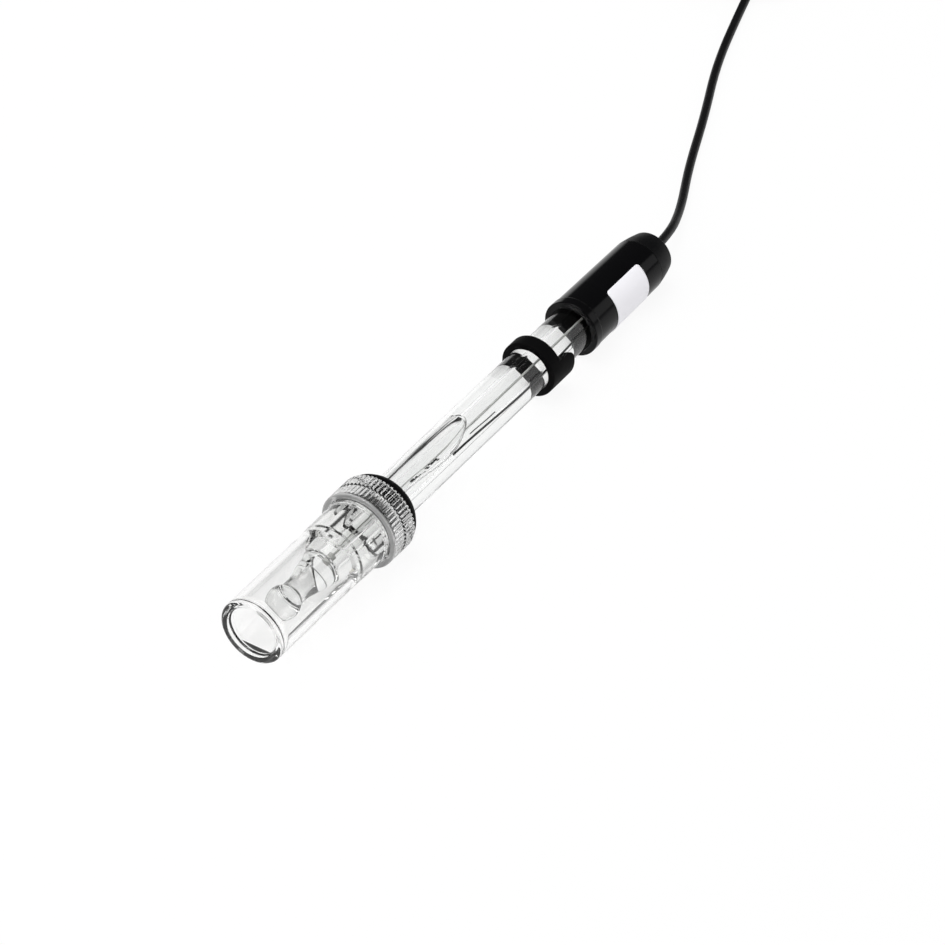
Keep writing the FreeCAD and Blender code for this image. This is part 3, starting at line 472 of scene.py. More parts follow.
def make_finishes():
    """All finishes by name."""
    tones = bpy.context.scene.electrode_colours
    plastic, glass = tuple(tones.plastic), tuple(tones.glass)
    clear = {
        "clear_plastic": clear_finish(
            "clear_plastic", plastic, 1.49, 1.12, in_storage, rough=0.003, wave=(0.1, 1, 1), speck=0.01,
            deep=11, moulded=0),
        "clear_cap": clear_finish(
            "clear_cap", plastic, 1.49, 1.12, in_storage, rough=0.01, wave=(0.5, 1, 1), speck=0.03,
            deep=10, moulded=0.3),
        "clear_glass": clear_finish("clear_glass", glass, 1.5, 1.125, glass_wet, painted_edge_shade_below=17.0),
        "wet_glass": clear_finish("wet_glass", glass, 1.125),
        "liquid_surface": clear_finish("liquid_surface", (0.998, 0.998, 0.996), 1.33),
    }
    finishes.update(clear)
    finishes["liquid_side"] = finish("liquid_side", lambda field, spots: field.node(
        "ShaderNodeBsdfTransparent", {"Color": colour(0.995)}))

    def bubble(field, spots):
        glassy = field.node("ShaderNodeBsdfGlass", {"Color": colour(1), "Roughness": 0.0, "IOR": 1 / 1.33})
        return lamp_clear(field, glassy, (1, 1, 1))
    finishes["bubble_surface"] = finish("bubble_surface", bubble)
    # tone, roughness, metal, grain, size, bump, coat, gloss
    solid = {
        "black_rubber": (tuple(tones.rubber), 0.6, 0, 0.3, 3.0, 0.15, 0, 0.04),
        "bung_rubber": ((0.02, 0.02, 0.02), 0.6, 0, 0.2, 3.0, 0.1, 0, 0.3),
        "ceramic": ((0.78, 0.76, 0.7), 0.8, 0, 0.15, 6.0, 0.3, 0, 0.3),
        "silver_wire": ((0.45, 0.45, 0.44), 0.6, 0, 0.05, 5.0, 0.1, 0, 0.3),
        "coated_wire": ((0.006, 0.006, 0.006), 0.5, 0, 0.3, 5.0, 0.2, 0, 0.2),
        "head_plastic": (tuple(tones.head), 0.13, 0, 0.2, 0.6, 0.02, 0, 0.12),
        "collar_plastic": ((0.004, 0.004, 0.0045), 0.42, 0, 0.25, 4.0, 0.12, 0, 0.08),
        "label_paper": (tuple(tones.label), 0.55, 0, 0.03, 5.0, 0.06, 0, 0.4),
        "lead_sheath": ((0.7, 0.12, 0.08), 0.45, 0, 0.1, 4.0, 0.1, 0, 0.5),
        "cable_sheath": (tuple(tones.cable), 0.42, 0, 0.25, 3.0, 0.12, 0, 0.25),
        "plug_metal": (tuple(tones.metal), 0.24, 1, 0.1, 4.0, 0.06),
        "plug_plastic": ((0.82, 0.81, 0.78), 0.4, 0, 0.06, 3.0, 0.05),
        "pin_metal": ((0.83, 0.62, 0.28), 0.22, 1, 0.1, 4.0, 0.05),
    }
    for name, values in solid.items():
        finishes[name] = solid_finish(name, *values)


# Pieces

def length(name, description, default, low, high):
    """A size in metres for the panel."""
    return bpy.props.FloatProperty(
        name=name, description=description, default=default, min=low, max=high, precision=5, unit="LENGTH")


def tone(name, description, default):
    """A colour for the panel."""
    return bpy.props.FloatVectorProperty(
        name=name, description=description, default=default, min=0.0, max=1.0, size=3, subtype="COLOR")


def power(name, description, default):
    """A lamp's power in watts for the panel."""
    return bpy.props.FloatProperty(
        name=name, description=description, default=default, min=0.0, unit="POWER")


class ElectrodeSizes(bpy.types.PropertyGroup):
    storage_level: length(
        "Storage level", "Height of the storage liquid's surface above the bench", 0.00715, 0.0055, 0.0125)
    bubble_end: length(
        "Bubble end", "Where the long bubble in the shaft ends, from the foot", 0.0903, 0.05, 0.11)
    thread_height: length(
        "Thread height", "Height of the screw thread between bottle and cap", 0.00003, 0.0, 0.0002)
    knurl_depth: length("Knurl depth", "Depth of the notches round the cap", 0.00042, 0.0, 0.0008)
    knurl_count: bpy.props.IntProperty(
        name="Knurl ribs", description="Number of ribs round the cap", default=56, min=24, max=72)
    flute_count: bpy.props.IntProperty(
        name="Nut flutes", description="Number of flutes round the plug's nut", default=24, min=8, max=40)


class ElectrodeColours(bpy.types.PropertyGroup):
    plastic: tone("Clear plastic", "Tint of the bottle and the cap", (0.99, 0.99, 0.988))
    glass: tone("Glass", "Tint of the shaft, the bulb and the inner tube", (0.995, 0.997, 0.995))
    rubber: tone("Rubber", "Sleeve, washer and ring", (0.003, 0.003, 0.0032))
    head: tone("Head", "Moulded handle", (0.003, 0.003, 0.0034))
    label: tone("Label", "Blank label", (0.94, 0.93, 0.97))
    cable: tone("Cable", "Sheath of the cable", (0.005, 0.005, 0.0055))
    metal: tone("Plug metal", "Plated parts of the plug", (0.62, 0.6, 0.56))


class BenchSizes(bpy.types.PropertyGroup):
    floor_size: bpy.props.FloatProperty(
        name="Floor size", description="Side of the square floor", default=6.0, unit="LENGTH")
    key_power: power("Key lamp", "Power of the soft lamp at the right", 0.4)
    top_power: power("Top lamp", "Power of the soft lamp overhead", 4.2)
    fill_power: power("Fill lamp", "Power of the soft lamp at the left", 1.7)


def sent_on(path):
    """1 for rays that a gloss or glass has sent on."""
    return path.maths("MINIMUM", path.other("Is Glossy Ray") + path.other("Is Transmission Ray"), 1.0)


class StageOperator(bpy.types.Operator):
    """Camera, floor, lamps and the white surroundings"""
    bl_idname = "electrode.stage"
    bl_label = "Stage"

    def execute(self, context):
        lamps = context.scene.electrode_bench
        camera_data = bpy.data.cameras.new("camera")
        camera = bpy.data.objects.new("camera", camera_data)
        context.scene.collection.objects.link(camera)
        forward = np.array([0.62714, 0.41384, -0.65987])
        right = np.array([0.55077, -0.83466, 0.0])
        upward = np.cross(right, forward)
        pose = np.eye(4)
        pose[:3, 0], pose[:3, 1], pose[:3, 2] = right, upward, -forward
        pose[:3, 3] = np.array([-819.73, -544.48, 861.36]) * MM
        camera.matrix_world = Matrix(pose.tolist())
        camera_data.sensor_width = 36
        camera_data.lens = 5265.77 * 36 / 945
        camera_data.clip_end = 50
        context.scene.camera = camera
        self.floor(context, lamps.floor_size / 2)
        for name, power, spot, target, width, height in (
            ("key_lamp", lamps.key_power, (0.55, -0.52, 0.3), (0.03, 0, 0.01), 0.35, 0.34),
            ("top_lamp", lamps.top_power, (0.05, 0.15, 0.85), (0.0, 0, 0.0), 0.7, 0.6),
            ("fill_lamp", lamps.fill_power, (-0.75, 0.35, 0.45), (-0.03, 0, 0.01), 0.5, 0.4),
        ):
            lamp = bpy.data.lights.new(name, "AREA")
            lamp.shape, lamp.size, lamp.size_y, lamp.energy = "RECTANGLE", width, height, power
            holder = bpy.data.objects.new(name, lamp)
            context.scene.collection.objects.link(holder)
            away = np.array(spot) - np.array(target)
            away = away / np.linalg.norm(away)
            side = np.cross([0, 0, 1], away)
            side = side / np.linalg.norm(side)
            pose = np.eye(4)
            pose[:3, 0], pose[:3, 1], pose[:3, 2] = side, np.cross(away, side), away
            pose[:3, 3] = spot
            holder.matrix_world = Matrix(pose.tolist())
        self.surroundings(context)
        context.scene.view_settings.view_transform = "Standard"
        return {"FINISHED"}

    def floor(self, context, half):
        """A square on the bench: lit by the lamps, and white to the camera and through glass, but to rays
        through glass a painted contact shadow darkens a band under the object.
        """
        def paint(field, spots):
            path = field.node("ShaderNodeLightPath")
            depth = field.node("ShaderNodeSeparateXYZ", {0: spots.bench}).other(1)
            behind = depth.between(-0.16, -0.05)
            through = sent_on(path)
            # Painted contact shadow: within 3 to 13 mm of y = 0, under the object, the glow that rays through
            # glass see is lowered.
            under = 1 - field.maths("ABSOLUTE", depth).between(0.003, 0.013)
            white = field.maths("MAXIMUM", path * 0.92, through * (behind * 0.9 - under * 0.42))
            grain = spots.noise(0.02).mix(colour(0.92), colour(0.95))
            pale = principled(field, Base_Color=grain, Roughness=0.7)
            glow = field.node("ShaderNodeEmission", {"Color": colour(1), "Strength": 1.0})
            return white.shade(pale, glow)
        mesh = bpy.data.meshes.new("bench_floor")
        corners = [(-half, -half, 0), (half, -half, 0), (half, half, 0), (-half, half, 0)]
        mesh.from_pydata(corners, [], [(0, 1, 2, 3)])
        mesh.materials.append(finish("bench_floor", paint))
        made = bpy.data.objects.new("bench_floor", mesh)
        context.scene.collection.objects.link(made)

    def surroundings(self, context):
        """White to the camera, dim to the object, and to glass white low down and dark overhead."""
        world = bpy.data.worlds.new("surroundings")
        context.scene.world = world
        world.use_nodes = True
        tree = world.node_tree
        tree.nodes.clear()
        field = Field(tree)
        where = field.node("ShaderNodeTexCoord", output="Generated")
        height = field.node("ShaderNodeSeparateXYZ", {0: where}).other(2)
        low = 1 - height.between(0.0, 0.14)
        path = field.node("ShaderNodeLightPath")
        bright = low * 0.9 + 0.05
        through = sent_on(path)
        strength = field.maths("MAXIMUM", path, through * bright + (1 - through) * 0.56)
        shader = field.node("ShaderNodeBackground", {"Color": colour(1), "Strength": strength})
        output = tree.nodes.new("ShaderNodeOutputWorld")
        tree.links.new(output.inputs["Surface"], shader.socket)


# Cord route in millimetres: out of the collar, down to the bench and away to the coil
LEAD_OUT = [(80.354, 0.0, 7.506), (96.85, 0.0, 7.041), (113.5, 6.0, 2.3), (131.5, 14.6, 1.2),
            (152.5, 22.6, 1.2), (174.0, 32.0, 1.2), (197.0, 39.0, 1.2)]
TAIL = [(203.6, 48.0, 6.0), (206.5, 39.0, 6.1), (213.6, 32.8, 6.6), (222.6, 31.5, 7.25),
        (232.45, 31.5, 7.25)]
COIL_MIDDLE = (216.8, 61.6)
COIL_RADIUS = 14.2
CORD = 2.4


def coil_turns():
    """Route points of the coil: radius mean + column * diameter, height half + layer * diameter,
    the angle going round once in each lap and the changes spread over a quarter of a lap. The
    last three are left out, where the tail leaves the coil."""
    laps = [(1, 0), (0, 0), (-1, 0), (-1, 1), (0, 1), (1, 1), (1, 2), (0, 2), (-1, 2)]
    per_lap = 18
    start = math.radians(-76)
    share = np.arange(len(laps) * per_lap) / per_lap
    lap = share.astype(int)
    ease = smooth((share - lap - 0.75) / 0.25)
    columns, layers = (np.array([pair[k] for pair in laps] + [laps[-1][k]], float) for k in (0, 1))
    column = columns[lap] + (columns[lap + 1] - columns[lap]) * ease
    layer = layers[lap] + (layers[lap + 1] - layers[lap]) * ease
    radius = COIL_RADIUS + column * CORD
    angle = start + share * TURN
    points = np.stack([
        COIL_MIDDLE[0] + radius * np.cos(angle), COIL_MIDDLE[1] + radius * np.sin(angle),
        CORD / 2 + layer * CORD], -1)
    return points[:-3].tolist()


PLUG_PIECES = ("crimp_sleeve", "plug_barrel", "turning_nut", "white_insulator", "centre_pin")


class CordOperator(bpy.types.Operator):
    """The cable: from the head along the bench, wound up, and on to its plug"""
    bl_idname = "electrode.cord"
    bl_label = "Cable"

    def execute(self, context):
        points = np.array(LEAD_OUT + coil_turns() + TAIL) * MM
        data = bpy.data.curves.new("cord", "CURVE")
        data.dimensions = "3D"
        data.bevel_depth = CORD / 2 * MM
        data.bevel_resolution = 6
        data.resolution_u = 6
        data.use_fill_caps = True
        spline = data.splines.new("NURBS")
        spline.points.add(len(points) - 1)
        spline.points.foreach_set("co", np.c_[points, np.ones(len(points))].ravel())
        spline.order_u = 3
        spline.use_endpoint_u = True
        data.materials.append(finishes["cable_sheath"])
        cord = bpy.data.objects.new("cord", data)
        context.scene.collection.objects.link(cord)
        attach(cord, "electrode")
        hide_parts("cable", "cable_coil", "cable_tail")
        missing = [name for name in PLUG_PIECES if name not in bpy.data.objects]
        if missing:
            raise RuntimeError("build the plug before the cable: no " + ", ".join(missing))
        tuple(bench(179.3, 0.0, 0.0))
        return {"FINISHED"}


class BottleOperator(bpy.types.Operator):
    """Soaker bottle with its screw thread, and the storage liquid in it"""
    bl_idname = "electrode.bottle"
    bl_label = "Soaker bottle"

    def execute(self, context):
        corners = [
            (0.9, 0.3, 0), (0.9, 6.8, 0.3), (0, 7.1, 0.25), (0, 8.9, 0.8), (29.5, 8.9, 1.5),
            (36.5, 9.1, 1.5), (45.2, 9.1, 0.15), (45.2, 8.8, 0.1), (44.65, 8.25, 0.15), (35.0, 8.2, 1.0),
            (31.0, BORE, 1.0), (FLOOR, BORE, 1.25), (FLOOR, 0.3, 0)]
        profile = eased(corners)
        profile = refined(profile, 0.15, lambda s, r: 33.0 < s < 44.6 and r < 8.6)
        profile = refined(profile, 2.5, lambda s, r: True)

        def ridges(station, radius, angle):
            bore = (station > 33.2) & (station < 44.6) & (radius < 8.5)
            ridge = sizes().thread_height / MM * thread(station, angle, 33.4, 44.4, 0.5)
            return station, radius - np.where(bore, ridge, 0)
        grid = turned(profile, 256, ridges)
        piece("soaker_bottle_clear", skin(grid, False), finishes["clear_plastic"],
              "bottle", "clear_plastic", "soaker_bottle")
        self.liquid()
        return {"FINISHED"}

    def liquid(self):
        """Storage liquid: each cross-section runs along the bore below the level, in along the
        surface, under the electrode's round and out along the surface again."""
        high = sizes().storage_level / MM
        station = np.concatenate([
            np.linspace(2.23, 3.55, 9), np.linspace(3.9, 8.8, 9),
            8.95 + BULB_OUTSIDE * (1 - np.cos(np.linspace(0, math.pi / 2, 16))),
            np.linspace(13.8, 34.0, 60)])[:, None]
        into_corner = np.clip(3.55 - station, 0, 2) / 1.34
        bore = BORE - 0.02 - 1.25 * (1 - np.sqrt(np.clip(1 - into_corner ** 2, 0, 1)))
        level = (high - FOOT[2] / MM + station * math.sin(TILT)) / math.cos(TILT)
        reach = station - BULB_MIDDLE
        ball = np.sqrt(np.clip((BULB_OUTSIDE + 0.02) ** 2 - reach ** 2, 0, None))
        cone = NECK_OUTSIDE + 0.02 + np.clip((station - CONE_FOOT) / 11.95, 0, 1) * 2.8
        body = np.where(station < 13.3, ball, np.maximum(ball, np.where(station > 15.0, cone, 0)))
        body = np.maximum(body, np.abs(level) + 0.004)
        t = np.linspace(0, 1, 40)[None]
        low = np.arcsin(np.clip(level / bore, -1, 1))
        angle = math.pi - low + (math.pi + 2 * low) * t
        wall = [bore * np.cos(angle), bore * np.sin(angle)]
        out, into = bore * np.cos(low), np.sqrt(body ** 2 - level ** 2)
        u = np.linspace(0, 1, 14)[None, 1:-1]
        near = [out + (into - out) * u, level + 0 * u]
        inner = np.arcsin(np.clip(level / body, -1, 1))
        turn = inner - (math.pi + 2 * inner) * t
        under = [body * np.cos(turn), body * np.sin(turn)]
        far = [-into + (into - out) * u, level + 0 * u]
        across, upward = (np.hstack([np.broadcast_to(a, (len(station), a.shape[1])) for a in parts])
                          for parts in zip(wall, near, under, far))
        grid = bench_grid(station, across, upward)
        made = piece("storage_liquid", skin(grid, False), finishes["liquid_side"], "bottle", "clear_plastic")
        made.data.materials.append(finishes["liquid_surface"])
        normals, centres = np.zeros((2, len(made.data.polygons) * 3))
        made.data.polygons.foreach_get("normal", normals)
        made.data.polygons.foreach_get("center", centres)
        flat = normals.reshape(-1, 3)[:, 2] > 0.99
        top = flat & (np.abs(centres.reshape(-1, 3)[:, 2] / MM - high) < 0.05)
        made.data.polygons.foreach_set("material_index", top.astype(np.int32))


class CapOperator(bpy.types.Operator):
    """Knurled cap with its screwed nose, and the two rubber seals"""
    bl_idname = "electrode.cap"
    bl_label = "Cap and seals"

    def execute(self, context):
        chosen = sizes()
        corners = [
            (44.7, 9.4, 0.12), (44.7, 10.8, 0.5), (49.3, 10.8, 0.08), (49.3, 10.3, 0.05), (49.6, 10.3, 0.05),
            (49.6, 10.8, 0.08), (53.5, 10.8, 0.25), (53.5, 6.4, 0.2), (34.2, 6.4, 0.15), (34.2, 7.9, 0.25),
            (44.3, 7.9, 0.1), (44.3, 7.15, 0.1), (46.2, 7.15, 0.12), (46.2, 9.4, 0.12)]
        profile = eased(corners)
        profile = np.vstack([profile, profile[:1]])
        profile = refined(profile, 0.2, lambda s, r: 34.4 < s < 44.2 and 7.4 < r < 8.5)
        profile = refined(profile, 0.25, lambda s, r: s > 53.3 and r > 9.5)
        profile = refined(profile, 1.5, lambda s, r: True)[:-1]

        def ribs(station, radius, angle):
            phase = np.abs((angle * chosen.knurl_count / TURN) % 1 - 0.5) * 2
            notch = smooth((phase - 0.36) / 0.34)
            reach = smooth((radius - 9.9) / 0.6) * smooth((station - 46.0) / 0.5)
            nose = (station < 44.25) & (radius > 7.5)
            cut = chosen.knurl_depth / MM * notch * reach
            ridge = np.where(nose, chosen.thread_height / MM * thread(station, angle, 34.6, 44.0, 0.0), 0)
            return station, radius - cut + ridge
        grid = turned(profile, chosen.knurl_count * 10, ribs)
        piece("knurled_cap_clear", skin(grid), finishes["clear_cap"], "cap", "clear_cap", "knurled_cap")
        washer = eased([(52.0, 6.06, 0.06), (52.0, 6.34, 0.06), (53.56, 6.34, 0.05), (53.56, 10.25, 0.1),
                        (55.0, 10.1, 0.6), (57.0, 8.6, 0.6), (57.0, 6.06, 0.15)])
        rubber = finishes["black_rubber"]
        piece("cap_washer", skin(turned(washer, 256)), rubber, "seals", "black_rubber", "cap_gasket")
        t = np.linspace(0, TURN, 24, endpoint=False)
        ring = np.stack([45.65 + 0.54 * np.cos(t), 8.1 + 0.88 * np.sin(t)], -1)
        piece("cap_ring", skin(turned(ring, 192)), rubber, "seals", "black_rubber", "sealing_ring")
        return {"FINISHED"}


class GlassOperator(bpy.types.Operator):
    """Bulb, drawn shaft and inner tube, with the wires, the bubble and the crystals inside"""
    bl_idname = "electrode.glass"
    bl_label = "Glass and its filling"

    def execute(self, context):
        t = np.linspace(0.01, 1, 40)[:, None]
        ball, hollow = (
            np.hstack([BULB_MIDDLE - radius * np.cos(t * arc), radius * np.sin(t * arc)])
            for radius, arc in ((BULB_OUTSIDE, math.pi - math.asin(3.62 / BULB_OUTSIDE)),
                                (BULB_INSIDE, math.pi - math.asin(3.0 / BULB_INSIDE))))
        outside = eased([
            (15.55, NECK_OUTSIDE, 0.45), (CONE_FOOT, NECK_OUTSIDE, 1.6), (CONE_TOP, TUBE_OUTSIDE, 1.62),
            (TUBE_END, TUBE_OUTSIDE, 0.2), (TUBE_END, TUBE_INSIDE, 0.2), (CONE_TOP, TUBE_INSIDE, 1.62),
            (CONE_FOOT, NECK_INSIDE, 1.6), (15.75, NECK_INSIDE, 0.5)], 9)
        profile = np.vstack([ball, outside, hollow[::-1]])
        profile = refined(profile, 1.5, lambda s, r: True)
        shaft = piece("glass_shaft", skin(turned(profile, 256), False), finishes["clear_glass"],
                      "electrode", "clear_glass", "sensing_bulb", "outer_tube")
        outward = math.cos(HOLE_ANGLE) * ACROSS + math.sin(HOLE_ANGLE) * UPWARD
        drilled(shaft, bench(HOLE_STATION, 0.0, 0.0), ALONG, outward, 1.5, 3.0, 8.0)
        flare = np.linspace(0, 1, 14)[:-1, None]
        length = np.concatenate([np.linspace(31.8, 154.6, 60), [154.85, 154.97]])[:, None]
        outside, inside = (
            np.vstack([np.hstack([28.4 + 3.4 * flare, radius + 2.0 * (1 - flare) ** 2]),
                       np.hstack([length, 0 * length + radius])])
            for radius in (STEM_OUTSIDE, STEM_INSIDE))
        stem = np.vstack([outside, [[155.0, STEM_OUTSIDE - 0.1], [155.0, STEM_INSIDE + 0.1]], inside[::-1]])
        piece("inner_tube", skin(turned(stem, 128)), finishes["wet_glass"],
              "electrode", "clear_glass", "inner_stem")
        self.bubble()
        self.crystals()
        self.wire()
        for node, look in (
            ("measuring_wire", "silver_wire"), ("junction_plug", "ceramic"), ("tube_bung", "bung_rubber"),
            ("stem_stopper", "bung_rubber"), ("core_lead", "lead_sheath"), ("shield_lead", "lead_sheath"),
        ):
            dress(node, look)
        return {"FINISHED"}

    def wire(self):
        """The dark wire between the tubes: a round carried along a path whose radius and angle
        swell by a raised cosine in the shaft's middle and end at the bung's own hole. A short
        loose end lies beside it."""
        station = np.linspace(WIRE_START, WIRE_END, 120)[:, None]
        swell = np.clip(0.5 - 0.5 * np.cos(TURN * np.clip((station - WIRE_START) / 66.0, 0, 1)), 0, 1)
        radius, angle = 3.7 + 0.4 * swell, math.radians(157) + math.radians(10) * swell
        turn = np.linspace(0, TURN, 12, endpoint=False)[None]
        out = radius + 0.25 * np.cos(turn)
        grid = bench(station, out, angle + 0.25 * np.sin(turn) / out)
        stray = np.linspace(88.5, 99.5, 20)[:, None]
        out = 3.2 + 0.12 * np.cos(turn)
        lies_at = math.radians(147) + math.radians(5) * smooth((stray - 88.5) / 9)
        loose = bench(stray, out, lies_at + 0.12 * np.sin(turn) / out)
        shape = joined([skin(grid, False), skin(loose, False)])
        piece("dark_wire", shape, finishes["coated_wire"], "electrode", "coated_wire", "reference_wire")

    def bubble(self):
        """A long bubble under the bore's top. Its cross-section is the bore's arc, two corner arcs
        tangent to it and a floor at the level, which sinks by a bell curve in its middle and is
        draped over a round of radius hill, the inner tube's. Towards its ends width and depth
        shrink as (2e - e^2)^0.38 and as quarter circles do, where e is the share of each end's run."""
        far, hill = sizes().bubble_end / MM, STEM_OUTSIDE + 0.06
        station = (32.0 + (far - 32.0) * (1 - np.cos(np.linspace(0, math.pi, 160))) / 2)[:, None]
        bore = 4.985 - 0.16 * np.clip((34.0 - station) / 2, 0, 1)
        level = 2.55 - 0.75 * np.exp(-((station - 77.0) / 9.0) ** 2)
        wide, deep = (
            np.minimum(np.clip((station - 31.99) / 1.6, 0, 1), np.clip((far + 0.01 - station) / run, 0, 1))
            for run in (11.0, 2.0))
        corner = np.minimum(0.85, 0.45 * (bore - level))
        out = np.sqrt((bore - corner) ** 2 - (level + corner) ** 2)
        tangent = np.arctan2(level + corner, out)
        crown = math.pi - tangent + (2 * tangent - math.pi) * np.linspace(0, 1, 30)[None]
        turn = tangent - (tangent + math.pi / 2) * np.linspace(0, 1, 12)[None, 1:]
        along_floor = np.linspace(0, 1, 26)[None, 1:]
        mirrored = (math.pi / 2 + tangent) * np.linspace(0, 1, 12)[None, 1:-1] - math.pi / 2
        across = np.hstack([bore * np.cos(crown), out + corner * np.cos(turn), out - 2 * out * along_floor,
                            -out - corner * np.cos(mirrored)])
        upward = np.hstack([bore * np.sin(crown), level + corner + corner * np.sin(turn),
                            level + 0 * along_floor, level + corner + corner * np.sin(mirrored)])
        wide, deep = (np.clip(1 - (1 - share) ** 2, 0, 1) ** power * 0.995 + 0.005 for share, power in (
            (wide, 0.38), (deep, 0.5)))
        mound = np.sqrt(np.clip(hill ** 2 - across ** 2, 0, None))
        upward = 0.5 * (upward + mound + np.sqrt((upward - mound) ** 2 + 0.01))
        upward = np.minimum(upward, np.sqrt(bore ** 2 - across ** 2))
        depth = np.sqrt(bore ** 2 - across ** 2) - upward
        across = across * wide
        upward = np.sqrt(bore ** 2 - across ** 2) - depth * deep
        grid = bench_grid(station, across, upward)
        made = piece("shaft_bubble", skin(grid, False), finishes["liquid_side"], "electrode", "clear_glass")
        made.data.materials.append(finishes["bubble_surface"])
        index, columns = np.arange(len(made.data.polygons)), grid.shape[1]
        surface = (index < (len(station) - 1) * columns) & (index % columns >= 29)
        made.data.polygons.foreach_set("material_index", surface.astype(np.int32))

    def crystals(self):
        """Dark flakes that float on the electrolyte: boxes with seeded corners and places."""
        random = np.random.default_rng(7)
        count = 16
        corner = np.array([[x, y, z] for x in (-1, 1) for y in (-1, 1) for z in (-1, 1)], float)
        size = np.stack([
            random.uniform(0.25, 0.8, count), random.uniform(0.1, 0.3, count), np.full(count, 0.05)], -1)
        centre = np.stack([
            np.sort(random.uniform(65.5, 77.5, count)), random.uniform(-2.2, -1.3, count),
            np.full(count, 1.85)], -1)
        jitter = random.uniform(0.7, 1.3, (count, 8, 3))
        local = centre[:, None] + corner[None] * size[:, None] * jitter
        points = FOOT + MM * (local.reshape(-1, 3) @ np.stack([ALONG, ACROSS, UPWARD]))
        one = [[0, 1, 3, 2], [4, 6, 7, 5], [0, 4, 5, 1], [2, 3, 7, 6], [0, 2, 6, 4], [1, 5, 7, 3]]
        faces = [[i + 8 * k for i in face] for k in range(count) for face in one]
        piece("floating_crystals", (points, faces), finishes["coated_wire"], "electrode", "coated_wire")


def dress(node, look):
    """Gives a CAD node one of the finishes."""
    slots = frame["nodes"][node].data.materials
    slots.clear()
    slots.append(finishes[look])


class HeadOperator(bpy.types.Operator):
    """Rubber sleeve, moulded head, its collar and its blank label"""
    bl_idname = "electrode.head"
    bl_label = "Head and sleeve"

    def execute(self, context):
        self.sleeve()
        shell = eased([
            (140.25, 6.05, 0.15), (140.25, 7.9, 0.3), (142.95, 7.9, 0.25), (143.05, 7.72, 0.1),
            (172.1, 7.45, 0.12), (172.1, 6.25, 0.1), (151.3, 6.25, 0.1), (151.3, 5.25, 0.1),
            (150.1, 5.25, 0.1), (150.1, 6.05, 0.1)])
        profile = refined(np.vstack([shell, shell[:1]]), 3.0, lambda s, r: True)[:-1]
        piece("head_moulding", skin(turned(profile, 256)), finishes["head_plastic"],
              "electrode", "head_plastic", "head_shell")
        collar = eased([
            (167.5, 1.25, 0.1), (167.5, 6.2, 0.2), (172.15, 6.2, 0.05), (172.15, 7.45, 0.12),
            (175.9, 6.85, 1.6), (178.7, 6.15, 0.2), (179.3, 5.55, 0.25), (179.3, 2.35, 0.15),
            (178.2, 1.25, 0.3)], 7)
        piece("head_end", skin(turned(collar, 256)), finishes["collar_plastic"],
              "electrode", "collar_plastic", "head_collar")
        self.label()
        return {"FINISHED"}

    def sleeve(self):
        """A ring whose rear edge runs out to a tongue: the rear station is the ring's plus the
        tongue's length, rounded off at its corners, where the angle is within the tongue's span."""
        ring = eased([(120.2, 6.05, 0.12), (120.2, 7.8, 0.35), (124.35, 7.8, 0.35), (124.35, 6.05, 0.12)], 7)
        half, corner, length = math.radians(48), 2.0, 5.7

        def tongue(station, radius, angle):
            off = np.abs((angle - HOLE_ANGLE + math.pi) % TURN - math.pi)
            side = (half - off) * 7.0
            rounded = np.clip(corner ** 2 - np.clip(corner - side, 0, corner) ** 2, 0, None)
            reach = length - corner + np.sqrt(rounded)
            rear = smooth((station - 122.2) / 1.6)
            return station + np.where(side > 0, reach, 0) * rear, radius
        grid = turned(refined(np.vstack([ring, ring[:1]]), 0.5, lambda s, r: True)[:-1], 720, tongue)
        piece("rubber_sleeve", skin(grid), finishes["black_rubber"], "sleeve", "black_rubber", "fill_sleeve")

    def label(self):
        """A sheet on the head's cone: rows of angle and columns of station, the columns drawn in
        by r - sqrt(r^2 - (r - d)^2) where a row is nearer than r to the sheet's end, at d from it."""
        half, corner, across = math.radians(58), 1.0, 7.62
        towards_end = (1 - np.cos(np.linspace(0, math.pi / 2, 14))) * 0.13 - 1
        v = np.concatenate([towards_end, np.linspace(-0.86, 0.86, 90), -towards_end[::-1]])[:, None]
        to_end = np.clip((1 - np.abs(v)) * half * across, 0, corner)
        drawn = corner - np.sqrt(corner ** 2 - (corner - to_end) ** 2)
        u = np.linspace(-1, 1, 25)[None]
        station = 158.1 + (7.45 - drawn) * u
        station = np.hstack([station, station[:, ::-1]])
        height = np.hstack([np.full((1, 25), 0.115), np.full((1, 25), 0.015)])
        radius = 7.72 - (station - 143.0) * 0.27 / 29.15 + height
        piece("blank_label", skin(bench(station, radius, math.radians(177) + half * v), False),
              finishes["label_paper"], "electrode", "label_paper", "head_label")


